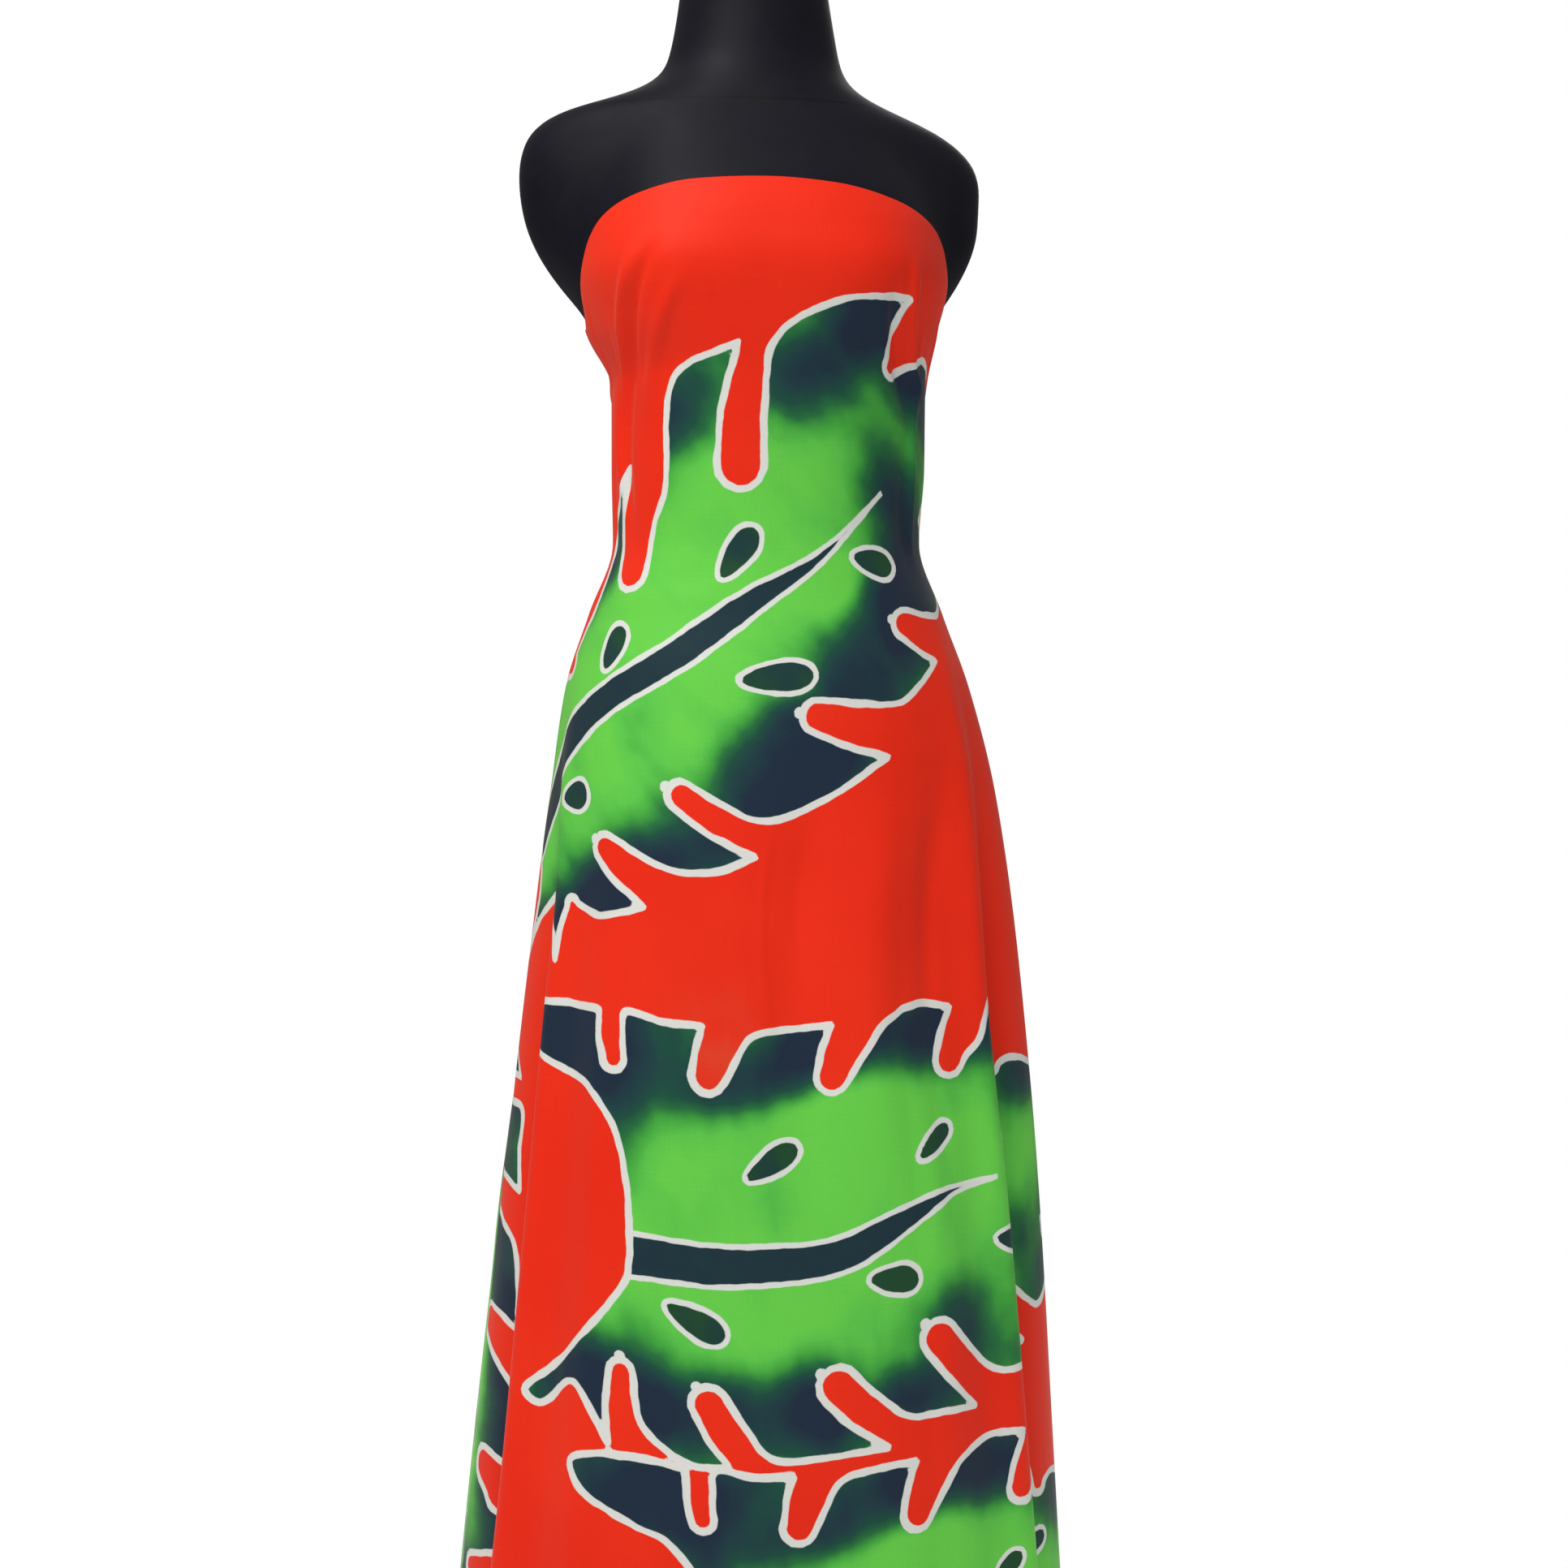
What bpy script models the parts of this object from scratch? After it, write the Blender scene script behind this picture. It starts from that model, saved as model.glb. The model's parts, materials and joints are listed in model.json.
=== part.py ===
"""A length of batik cloth wound strapless round a limbless dress form, built in metres with +Z up.

The form faces -Y. The origin is on the floor under the pole, in the middle of the round base.
Angles round the form start at the centre front and grow towards +X, and arcs are measured the same way.
"""

import math
from collections import namedtuple

import bpy
import numpy as np

for old in list(bpy.data.objects):
    bpy.data.objects.remove(old, do_unlink=True)

# driving sizes of the cloth
WALL = 0.0014
SPLIT_GAP = 0.0005
LAP_STEP = 0.0020
LAP_BLEND = 0.030
LAP_COLUMN = 0.015
LAP_COLUMNS = 6
UNDER_COLUMNS = 4
SIDE_COLUMNS = 19
MIDDLE_COLUMNS = 17
HEM_HEIGHT = 0.120
HEM_SIDE_RISE = 0.010
TOP_HEIGHT = 1.262
EDGE_FADE_HEIGHT = 0.980

# bust points of the form, which the cloth spans
BUST_ANGLE = 38.0
BUST_SPREAD = 19.0
BUST_HEIGHT = 1.192
BUST_REACH = 0.050
BUST_RISE = 0.007

# dress form
TORSO_COLUMNS = 40
TORSO_BOTTOM = 0.700
STUMP_ANGLE = 92.0
STUMP_SPREAD = 24.0
STUMP_MIDDLE = 1.285
STUMP_DROP = 0.117
STUMP_POWER = 1.3
LOW_STUMP_LEFT = 0.0610
LOW_STUMP_RIGHT = 0.0470
CLOTH_CLEARANCE = 0.0017

# neck cap and stand
PIECE_GAP = 0.0003
CAP_HEIGHT = 0.012
CAP_RADIUS = 0.0535
FLANGE_RADIUS = 0.045
FLANGE_HEIGHT = 0.006
POLE_RADIUS = 0.0125
HUB_RADIUS = 0.030
HUB_HEIGHT = 0.040
BASE_RADIUS = 0.170
BASE_HEIGHT = 0.009
BASE_BEVEL = 0.002

# lap pins
PIN_HEAD_RADIUS = 0.0023
PIN_SHAFT_RADIUS = 0.0005
PIN_LENGTH = 0.024
PIN_TIP = 0.0006
PIN_LIFT = 0.0003

Section = namedtuple("Section", "height left right front back square")
CLOTH_SECTIONS = [
    Section(1.262, 0.1420, 0.1500, 0.1180, 0.0985, 2.30),
    Section(1.231, 0.1470, 0.1580, 0.1290, 0.1020, 2.30),
    Section(1.198, 0.1500, 0.1600, 0.1350, 0.1050, 2.30),
    Section(1.155, 0.1380, 0.1500, 0.1300, 0.1030, 2.25),
    Section(1.111, 0.1175, 0.1410, 0.1220, 0.0980, 2.20),
    Section(1.045, 0.1175, 0.1405, 0.1130, 0.0890, 2.15),
    Section(0.983, 0.1165, 0.1365, 0.1080, 0.0820, 2.10),
    Section(0.925, 0.1360, 0.1560, 0.1120, 0.0960, 2.15),
    Section(0.866, 0.1550, 0.1775, 0.1220, 0.1200, 2.20),
    Section(0.778, 0.1680, 0.1995, 0.1300, 0.1350, 2.25),
    Section(0.617, 0.1880, 0.2215, 0.1450, 0.1500, 2.25),
    Section(0.456, 0.2068, 0.2350, 0.1580, 0.1650, 2.25),
    Section(0.253, 0.2285, 0.2465, 0.1720, 0.1800, 2.25),
    Section(0.120, 0.2420, 0.2540, 0.1820, 0.1900, 2.25),
]

CLOTH_LEVELS = [
    1.262, 1.243, 1.223, 1.203, 1.182, 1.158, 1.128, 1.095, 1.060, 1.022, 0.983, 0.950, 0.917,
    0.884, 0.848, 0.808, 0.766, 0.720, 0.668, 0.612, 0.552, 0.488, 0.418, 0.344, 0.266, 0.192, 0.120,
]

EdgePoint = namedtuple("EdgePoint", "angle height")
TOP_EDGE = [
    EdgePoint(-180, 1.205), EdgePoint(-140, 1.200), EdgePoint(-118, 1.182), EdgePoint(-104, 1.163),
    EdgePoint(-92, 1.157), EdgePoint(-84, 1.164), EdgePoint(-77, 1.188), EdgePoint(-70, 1.222),
    EdgePoint(-62, 1.238), EdgePoint(-48, 1.251), EdgePoint(-28, 1.260), EdgePoint(0, 1.262),
    EdgePoint(24, 1.259), EdgePoint(46, 1.249), EdgePoint(62, 1.234), EdgePoint(70, 1.219),
    EdgePoint(77, 1.188), EdgePoint(84, 1.164), EdgePoint(92, 1.157), EdgePoint(104, 1.163),
    EdgePoint(118, 1.182), EdgePoint(140, 1.200), EdgePoint(180, 1.205),
]

# arcs from the centre front to the crests of the two side folds of the front stretch
CrestPoint = namedtuple("CrestPoint", "height left right")
CRESTS = [
    CrestPoint(1.262, 0.160, 0.165),
    CrestPoint(1.198, 0.170, 0.175),
    CrestPoint(1.111, 0.150, 0.160),
    CrestPoint(0.983, 0.145, 0.152),
    CrestPoint(0.917, 0.159, 0.160),
    CrestPoint(0.866, 0.173, 0.164),
    CrestPoint(0.778, 0.186, 0.174),
    CrestPoint(0.700, 0.185, 0.176),
    CrestPoint(0.617, 0.1925, 0.179),
    CrestPoint(0.456, 0.205, 0.196),
    CrestPoint(0.253, 0.2245, 0.216),
    CrestPoint(0.120, 0.2415, 0.229),
]

# plan shape of a side fold at full depth, in metres from the crest towards the side
FoldRow = namedtuple("FoldRow", "plain along out")
FOLD_SHAPE = [
    FoldRow(-0.095, -0.0950, 0.0000),
    FoldRow(-0.070, -0.0700, 0.0030),
    FoldRow(-0.050, -0.0500, -0.0015),
    FoldRow(-0.034, -0.0340, -0.0045),
    FoldRow(-0.020, -0.0200, -0.0020),
    FoldRow(-0.010, -0.0090, 0.0030),
    FoldRow(-0.003, -0.0010, 0.0060),
    FoldRow(0.004, 0.0065, 0.0050),
    FoldRow(0.010, 0.0115, 0.0000),
    FoldRow(0.016, 0.0125, -0.0065),
    FoldRow(0.022, 0.0100, -0.0130),
    FoldRow(0.028, 0.0080, -0.0195),
    FoldRow(0.035, 0.0105, -0.0250),
    FoldRow(0.043, 0.0190, -0.0270),
    FoldRow(0.054, 0.0340, -0.0220),
    FoldRow(0.068, 0.0540, -0.0120),
    FoldRow(0.084, 0.0770, -0.0040),
    FoldRow(0.100, 0.0980, 0.0000),
]
SPLIT_ROW = 12

SideFold = namedtuple("SideFold", "side start full depth")
SIDE_FOLDS = [
    SideFold(-1, 0.900, 0.330, 1.00),
    SideFold(1, 0.955, 0.380, 0.80),
]

# soft flare folds, placed by their share of the way from the centre front to the centre back
FlareFold = namedtuple("FlareFold", "side share start rise half_width")
FLARE_FOLDS = [
    FlareFold(-1, 0.615, 0.930, 0.012, 0.036),
    FlareFold(-1, 0.780, 0.960, 0.018, 0.042),
    FlareFold(1, 0.635, 0.940, 0.011, 0.036),
    FlareFold(1, 0.820, 0.960, 0.019, 0.044),
]

# shallow swells of the front stretch, with arcs from the centre front
Swell = namedtuple("Swell", "arc height arc_reach height_reach rise")
SWELLS = [
    Swell(0.130, 0.700, 0.030, 0.120, -0.0045),
    Swell(0.060, 0.640, 0.040, 0.200, 0.0025),
    Swell(-0.020, 0.230, 0.085, 0.080, 0.0060),
    Swell(0.150, 0.180, 0.028, 0.110, -0.0050),
    Swell(-0.120, 0.420, 0.045, 0.160, 0.0035),
    Swell(0.030, 0.860, 0.060, 0.060, 0.0025),
]

# room between the wall and the form where the form is hidden, at the sides, front and back
Ease = namedtuple("Ease", "height side front back")
EASES = [
    Ease(1.262, 0.0000, 0.0000, 0.0000),
    Ease(1.172, 0.0002, 0.0005, 0.0000),
    Ease(1.150, 0.0015, 0.0012, 0.0000),
    Ease(1.128, 0.0025, 0.0030, 0.0003),
    Ease(1.100, 0.0012, 0.0055, 0.0005),
    Ease(0.983, 0.0010, 0.0100, 0.0010),
    Ease(0.925, 0.0030, 0.0080, 0.0030),
    Ease(0.866, 0.0060, 0.0080, 0.0060),
    Ease(0.790, 0.0090, 0.0080, 0.0000),
    Ease(0.730, 0.0160, 0.0150, 0.0110),
    Ease(0.700, 0.0300, 0.0290, 0.0290),
]

FormSection = namedtuple("FormSection", "height left right front back square stump_left stump_right")
UPPER_FORM = [
    FormSection(1.285, 0.1370, 0.1390, 0.1010, 0.0930, 2.30, 0.0615, 0.0550),
    FormSection(1.305, 0.1360, 0.1370, 0.0880, 0.0900, 2.30, 0.0600, 0.0465),
    FormSection(1.322, 0.1420, 0.1370, 0.0780, 0.0860, 2.25, 0.0440, 0.0210),
    FormSection(1.335, 0.1440, 0.1180, 0.0710, 0.0800, 2.20, 0.0200, 0.0060),
    FormSection(1.345, 0.1190, 0.0990, 0.0680, 0.0760, 2.15, 0.0030, 0.0000),
    FormSection(1.356, 0.0920, 0.0825, 0.0650, 0.0720, 2.10, 0.0000, 0.0000),
    FormSection(1.370, 0.0750, 0.0730, 0.0620, 0.0680, 2.00, 0.0000, 0.0000),
    FormSection(1.388, 0.0690, 0.0690, 0.0600, 0.0655, 2.00, 0.0000, 0.0000),
    FormSection(1.415, 0.0640, 0.0645, 0.0580, 0.0635, 2.00, 0.0000, 0.0000),
    FormSection(1.445, 0.0600, 0.0595, 0.0560, 0.0610, 2.00, 0.0000, 0.0000),
    FormSection(1.472, 0.0585, 0.0580, 0.0545, 0.0595, 2.00, 0.0000, 0.0000),
]
LOWER_FORM_HEIGHTS = [
    0.700, 0.712, 0.735, 0.765, 0.800, 0.840, 0.880, 0.920, 0.955, 0.985, 1.020, 1.060, 1.092,
    1.110, 1.128, 1.144, 1.158, 1.172, 1.190, 1.212, 1.237, 1.262,
]

# heights of the lap pins and how far each leans from level
LapPin = namedtuple("LapPin", "height lean")
LAP_PINS = [LapPin(1.168, 8.0), LapPin(1.078, -6.0), LapPin(0.994, 5.0), LapPin(0.918, -9.0)]

Finish = namedtuple("Finish", "red green blue roughness metallic")
FINISHES = {
    "batik_cloth": Finish(0.78, 0.060, 0.022, 0.85, 0.0),
    "form_jersey": Finish(0.012, 0.011, 0.014, 0.90, 0.0),
    "neck_cap": Finish(0.020, 0.020, 0.022, 0.45, 0.0),
    "stand_metal": Finish(0.030, 0.030, 0.032, 0.40, 1.0),
    "pin_pearl": Finish(0.80, 0.78, 0.72, 0.25, 0.0),
}


def bend(heights, values, at):
    """Smooth values between table rows, with no overshoot at a turn."""
    order = np.argsort(heights)
    x = np.asarray(heights, float)[order]
    y = np.asarray(values, float)[order]
    step = np.diff(x)
    slope = np.diff(y) / step
    lean = np.zeros(len(x))
    lean[1:-1] = np.where(
        slope[1:] * slope[:-1] > 0,
        3 * (step[1:] + step[:-1])
        / ((2 * step[1:] + step[:-1]) / np.where(slope[:-1] == 0, 1, slope[:-1])
           + (step[1:] + 2 * step[:-1]) / np.where(slope[1:] == 0, 1, slope[1:])),
        0.0,
    )
    lean[0] = slope[0]
    lean[-1] = slope[-1]
    at = np.clip(np.asarray(at, float), x[0], x[-1])
    row = np.clip(np.searchsorted(x, at) - 1, 0, len(x) - 2)
    part = (at - x[row]) / step[row]
    first = (1 + 2 * part) * (1 - part) ** 2 * y[row] + part ** 2 * (3 - 2 * part) * y[row + 1]
    second = part * (1 - part) ** 2 * lean[row] - part ** 2 * (1 - part) * lean[row + 1]
    return first + second * step[row]


def column(table, field):
    return [getattr(row, field) for row in table]


def ramp(value):
    part = np.clip(value, 0.0, 1.0)
    return part * part * (3 - 2 * part)


def hump(value):
    return np.exp(-np.square(value))


def oval(angle, left, right, front, back, square):
    """Radius of a four-way oval at an angle from the centre front, in radians."""
    side = np.where(np.sin(angle) > 0, right, left)
    depth = np.where(np.cos(angle) > 0, front, back)
    reach = np.abs(np.sin(angle) / side) ** square + np.abs(np.cos(angle) / depth) ** square
    return reach ** (-1.0 / square)


def bust(angle, height):
    degrees = np.degrees(angle)
    degrees = (degrees + 180.0) % 360.0 - 180.0
    both = hump((degrees - BUST_ANGLE) / BUST_SPREAD) + hump((degrees + BUST_ANGLE) / BUST_SPREAD)
    return BUST_RISE * both * hump((height - BUST_HEIGHT) / BUST_REACH)


def cloth_radius(angle, height):
    sizes = [bend(column(CLOTH_SECTIONS, "height"), column(CLOTH_SECTIONS, name), height)
             for name in Section._fields[1:]]
    return oval(angle, *sizes) + bust(angle, height)


def top_edge(angle):
    degrees = (np.degrees(angle) + 180.0) % 360.0 - 180.0
    return bend(column(TOP_EDGE, "angle"), column(TOP_EDGE, "height"), degrees)


class Girth:
    """The plain section of the cloth at one height, walked by arc from the centre front."""

    def __init__(self, height):
        self.height = height
        self.angles = np.radians(np.arange(-300.0, 300.25, 0.5))
        radius = cloth_radius(self.angles, height)
        self.x = radius * np.sin(self.angles)
        self.y = -radius * np.cos(self.angles)
        walked = np.concatenate([[0.0], np.cumsum(np.hypot(np.diff(self.x), np.diff(self.y)))])
        self.arcs = walked - np.interp(0.0, self.angles, walked)
        self.half = np.interp(math.pi, self.angles, self.arcs)
        self.half_left = -np.interp(-math.pi, self.angles, self.arcs)

    def angle(self, arc):
        return np.interp(arc, self.arcs, self.angles)

    def point(self, arc):
        angle = self.angle(arc)
        radius = cloth_radius(angle, self.height)
        return np.array([radius * np.sin(angle), -radius * np.cos(angle)])

    def along(self, arc):
        ahead = self.point(arc + 0.0005) - self.point(arc - 0.0005)
        return ahead / np.hypot(*ahead)


HEM_GIRTH = Girth(HEM_HEIGHT)


def crest_arc(side, height):
    name = "left" if side < 0 else "right"
    return side * float(bend(column(CRESTS, "height"), column(CRESTS, name), height))


def plain_columns(girth):
    """Arcs of all columns from the end of the lap on the left to the end of the under layer on the right.

    Each column comes with the fold it belongs to and its place in that fold.
    """
    scale = (girth.half + girth.half_left) / (HEM_GIRTH.half + HEM_GIRTH.half_left)
    rows = []
    left_crest = crest_arc(-1, girth.height)
    right_crest = crest_arc(1, girth.height)
    step = LAP_COLUMN * scale
    left_end = left_crest - FOLD_SHAPE[-1].plain * scale
    right_end = right_crest + FOLD_SHAPE[-1].plain * scale
    for count in range(LAP_COLUMNS, -UNDER_COLUMNS - 1, -1):
        rows.append((-girth.half_left - count * step, None, 0))
    start = -girth.half_left + UNDER_COLUMNS * step
    rest = SIDE_COLUMNS - UNDER_COLUMNS
    for count in range(1, rest):
        rows.append((start + (left_end - start) * count / rest, None, 0))
    for place in range(len(FOLD_SHAPE) - 1, -1, -1):
        rows.append((left_crest - FOLD_SHAPE[place].plain * scale, -1, place))
    start = left_crest - FOLD_SHAPE[0].plain * scale
    stop = right_crest + FOLD_SHAPE[0].plain * scale
    for count in range(1, MIDDLE_COLUMNS):
        rows.append((start + (stop - start) * count / MIDDLE_COLUMNS, None, 0))
    for place in range(len(FOLD_SHAPE)):
        rows.append((right_crest + FOLD_SHAPE[place].plain * scale, 1, place))
    stop = girth.half - LAP_COLUMNS * step
    rest = SIDE_COLUMNS - LAP_COLUMNS
    for count in range(1, rest):
        rows.append((right_end + (stop - right_end) * count / rest, None, 0))
    for count in range(-LAP_COLUMNS, UNDER_COLUMNS + 1):
        rows.append((girth.half + count * step, None, 0))
    return rows, scale


def home(arc, girth):
    """The arc brought to the single turn that starts at the centre back."""
    around = girth.half + girth.half_left
    while arc < -girth.half_left:
        arc += around
    while arc > girth.half:
        arc -= around
    return arc


def soft_rise(arc, girth, scale):
    """How far flare folds and swells lift the cloth at an arc."""
    arc = home(arc, girth)
    rise = 0.0
    for fold in FLARE_FOLDS:
        half = girth.half if fold.side > 0 else girth.half_left
        away = abs(arc - fold.side * fold.share * half)
        away = min(away, girth.half + girth.half_left - away)
        growth = ramp((fold.start - girth.height) / (fold.start - HEM_HEIGHT)) ** 0.9
        rise += fold.rise * growth * float(hump(away / (fold.half_width * scale)))
    for swell in SWELLS:
        across = hump((arc - swell.arc) / swell.arc_reach)
        up = hump((girth.height - swell.height) / swell.height_reach)
        rise += swell.rise * float(across * up)
    return rise


def fold_depth(side, height):
    for fold in SIDE_FOLDS:
        if fold.side == side:
            return fold.depth * float(ramp((fold.start - height) / (fold.start - fold.full)) ** 0.8)
    return 0.0


def cloth_grid():
    """Outer points of the whole wrap, a row for each level and a column for each arc."""
    levels = []
    for level in CLOTH_LEVELS:
        flat = Girth(level)
        rows, scale = plain_columns(flat)
        fade = max(0.0, (level - EDGE_FADE_HEIGHT) / (TOP_HEIGHT - EDGE_FADE_HEIGHT)) ** 1.5
        low = float(ramp((0.45 - level) / (0.45 - HEM_HEIGHT)))
        points = []
        for arc, side, place in rows:
            angle = float(flat.angle(arc))
            height = level + (float(top_edge(angle)) - TOP_HEIGHT) * fade
            height += HEM_SIDE_RISE * low * math.sin(angle) ** 2
            girth = Girth(height) if fade > 0 or low > 0 else flat
            share = arc / flat.half if arc > 0 else arc / flat.half_left
            place_arc = share * (girth.half if arc > 0 else girth.half_left)
            rise = soft_rise(place_arc, girth, scale)
            moved = 0.0
            if side is not None:
                depth = fold_depth(side, height)
                shape = FOLD_SHAPE[place]
                rise += depth * shape.out
                moved = side * depth * (shape.along - shape.plain)
            if place_arc < 0:
                under_end = girth.half_left - UNDER_COLUMNS * LAP_COLUMN * scale
                rise += LAP_STEP * float(ramp((-place_arc - under_end + LAP_BLEND) / (LAP_BLEND - 0.006)))
            ahead = girth.along(place_arc)
            out = np.array([ahead[1], -ahead[0]])
            spot = girth.point(place_arc) + out * rise + ahead * moved
            points.append((spot[0], spot[1], height))
        levels.append(points)
    return np.array(levels)


def grid_frames(points):
    """Outward unit normals and unit steps along the columns for a grid."""
    across = np.gradient(points, axis=1)
    down = np.gradient(points, axis=0)
    out = np.cross(across, -down)
    out /= np.linalg.norm(out, axis=2, keepdims=True)
    across /= np.linalg.norm(across, axis=2, keepdims=True)
    return out, across


def make_material(slot):
    finish = FINISHES[slot]
    made = bpy.data.materials.get(slot)
    if made is None:
        made = bpy.data.materials.new(slot)
        made.use_nodes = True
        shader = made.node_tree.nodes["Principled BSDF"]
        shader.inputs["Base Color"].default_value = (finish.red, finish.green, finish.blue, 1.0)
        shader.inputs["Roughness"].default_value = finish.roughness
        shader.inputs["Metallic"].default_value = finish.metallic
    return made


def make_object(name, points, faces, slot):
    mesh = bpy.data.meshes.new(name)
    mesh.from_pydata([tuple(map(float, point)) for point in points], [], faces)
    mesh.materials.append(make_material(slot))
    mesh.validate()
    mesh.update()
    made = bpy.data.objects.new(name, mesh)
    bpy.context.scene.collection.objects.link(made)
    return made


def make_wall(name, outer, out, slot):
    """A closed wall between a grid of outer points and the same grid moved in."""
    rows, columns = outer.shape[:2]
    inner = outer - out * WALL
    points = np.concatenate([outer.reshape(-1, 3), inner.reshape(-1, 3)])
    shift = rows * columns
    faces = []
    for row in range(rows - 1):
        for col in range(columns - 1):
            a = row * columns + col
            b = a + 1
            c = b + columns
            d = a + columns
            faces.append((a, d, c, b))
            faces.append((shift + a, shift + b, shift + c, shift + d))
    for col in range(columns - 1):
        a = col
        b = col + 1
        faces.append((a, b, shift + b, shift + a))
        a = (rows - 1) * columns + col
        b = a + 1
        faces.append((b, a, shift + a, shift + b))
    for row in range(rows - 1):
        a = row * columns
        d = a + columns
        faces.append((d, a, shift + a, shift + d))
        a = row * columns + columns - 1
        d = a + columns
        faces.append((a, d, shift + d, shift + a))
    return make_object(name, points, faces, slot)


def make_loft(name, rings, slot):
    """A closed solid through rings of equal length, listed from the bottom up, with flat ends."""
    count = len(rings[0])
    points = [point for ring in rings for point in ring]
    faces = []
    for row in range(len(rings) - 1):
        for col in range(count):
            a = row * count + col
            b = row * count + (col + 1) % count
            faces.append((a, b, b + count, a + count))
    low = len(points)
    points.append(np.mean(rings[0], axis=0))
    high = len(points)
    points.append(np.mean(rings[-1], axis=0))
    last = (len(rings) - 1) * count
    for col in range(count):
        faces.append((low, (col + 1) % count, col))
        faces.append((high, last + col, last + (col + 1) % count))
    return make_object(name, points, faces, slot)


def make_turned(name, profile, sides, slot):
    """A solid turned round the Z axis, from rows of radius and height."""
    rings = []
    for radius, height in profile:
        ring = []
        for count in range(sides):
            angle = 2 * math.pi * count / sides
            ring.append((radius * math.cos(angle), radius * math.sin(angle), height))
        rings.append(ring)
    return make_loft(name, rings, slot)


def form_ring(height):
    """One section of the dress form, counter-clockwise from above."""
    if height <= TOP_HEIGHT + 1e-6:
        sizes = [float(bend(column(CLOTH_SECTIONS, "height"), column(CLOTH_SECTIONS, name), height))
                 for name in Section._fields[1:]]
        ease = [float(bend(column(EASES, "height"), column(EASES, name), height))
                for name in Ease._fields[1:]]
        room = WALL + CLOTH_CLEARANCE
        left = sizes[0] - room - ease[0]
        right = sizes[1] - room - ease[0]
        front = sizes[2] - room - ease[1]
        back = sizes[3] - room - ease[2]
        square = sizes[4]
        stumps = (LOW_STUMP_LEFT, LOW_STUMP_RIGHT)
    else:
        row = [entry for entry in UPPER_FORM if abs(entry.height - height) < 1e-6][0]
        left, right, front, back, square = row.left, row.right, row.front, row.back, row.square
        stumps = (row.stump_left, row.stump_right)
    ring = []
    for count in range(TORSO_COLUMNS):
        angle = 2 * math.pi * count / TORSO_COLUMNS
        radius = float(oval(angle, left, right, front, back, square)) + float(bust(angle, height))
        degrees = (math.degrees(angle) + 180.0) % 360.0 - 180.0
        reach = (abs(degrees) - STUMP_ANGLE) / STUMP_SPREAD
        drop = max(0.0, (STUMP_MIDDLE - height) / STUMP_DROP)
        inside = max(0.0, 1.0 - reach * reach - drop * drop)
        radius += (stumps[0] if degrees < 0 else stumps[1]) * inside ** STUMP_POWER
        ring.append((radius * math.sin(angle), -radius * math.cos(angle), height))
    return ring


def make_form():
    heights = LOWER_FORM_HEIGHTS + [row.height for row in UPPER_FORM]
    make_loft("form_torso", [form_ring(height) for height in heights], "form_jersey")
    top = UPPER_FORM[-1].height + PIECE_GAP
    middle = 0.5 * (UPPER_FORM[-1].back - UPPER_FORM[-1].front)
    cap = make_turned(
        "form_neck_cap",
        [(CAP_RADIUS, top), (CAP_RADIUS + 0.0005, top + 0.4 * CAP_HEIGHT),
         (0.94 * CAP_RADIUS, top + 0.8 * CAP_HEIGHT), (0.80 * CAP_RADIUS, top + CAP_HEIGHT)],
        32, "neck_cap")
    for vertex in cap.data.vertices:
        vertex.co.y += middle


def make_stand():
    make_turned(
        "stand_base",
        [(BASE_RADIUS, 0.0), (BASE_RADIUS, BASE_HEIGHT - BASE_BEVEL),
         (BASE_RADIUS - BASE_BEVEL, BASE_HEIGHT)],
        48, "stand_metal")
    hub_low = BASE_HEIGHT + PIECE_GAP
    hub_high = hub_low + HUB_HEIGHT
    make_turned(
        "stand_hub",
        [(HUB_RADIUS, hub_low), (HUB_RADIUS, hub_low + 0.3 * HUB_HEIGHT), (0.6 * HUB_RADIUS, hub_high)],
        32, "stand_metal")
    flange_high = TORSO_BOTTOM - PIECE_GAP
    flange_low = flange_high - FLANGE_HEIGHT
    make_turned(
        "stand_flange",
        [(FLANGE_RADIUS, flange_low), (FLANGE_RADIUS, flange_high)], 32, "stand_metal")
    make_turned(
        "stand_pole",
        [(POLE_RADIUS, hub_high + PIECE_GAP), (POLE_RADIUS, flange_low - PIECE_GAP)], 24, "stand_metal")


def make_cloth():
    points = cloth_grid()
    out, across = grid_frames(points)
    left_split = LAP_COLUMNS + SIDE_COLUMNS + (len(FOLD_SHAPE) - 1 - SPLIT_ROW)
    right_split = LAP_COLUMNS + SIDE_COLUMNS + len(FOLD_SHAPE) + MIDDLE_COLUMNS - 1 + SPLIT_ROW
    spans = {
        "cloth_left": (0, left_split),
        "cloth_front": (left_split, right_split),
        "cloth_right": (right_split, points.shape[1] - 1),
    }
    for name, (first, last) in spans.items():
        part = points[:, first:last + 1].copy()
        if first > 0:
            part[:, 0] += across[:, first] * SPLIT_GAP / 2
        if last < points.shape[1] - 1:
            part[:, -1] -= across[:, last] * SPLIT_GAP / 2
        make_wall(name, part, out[:, first:last + 1], "batik_cloth")
    return points, out, across


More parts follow.
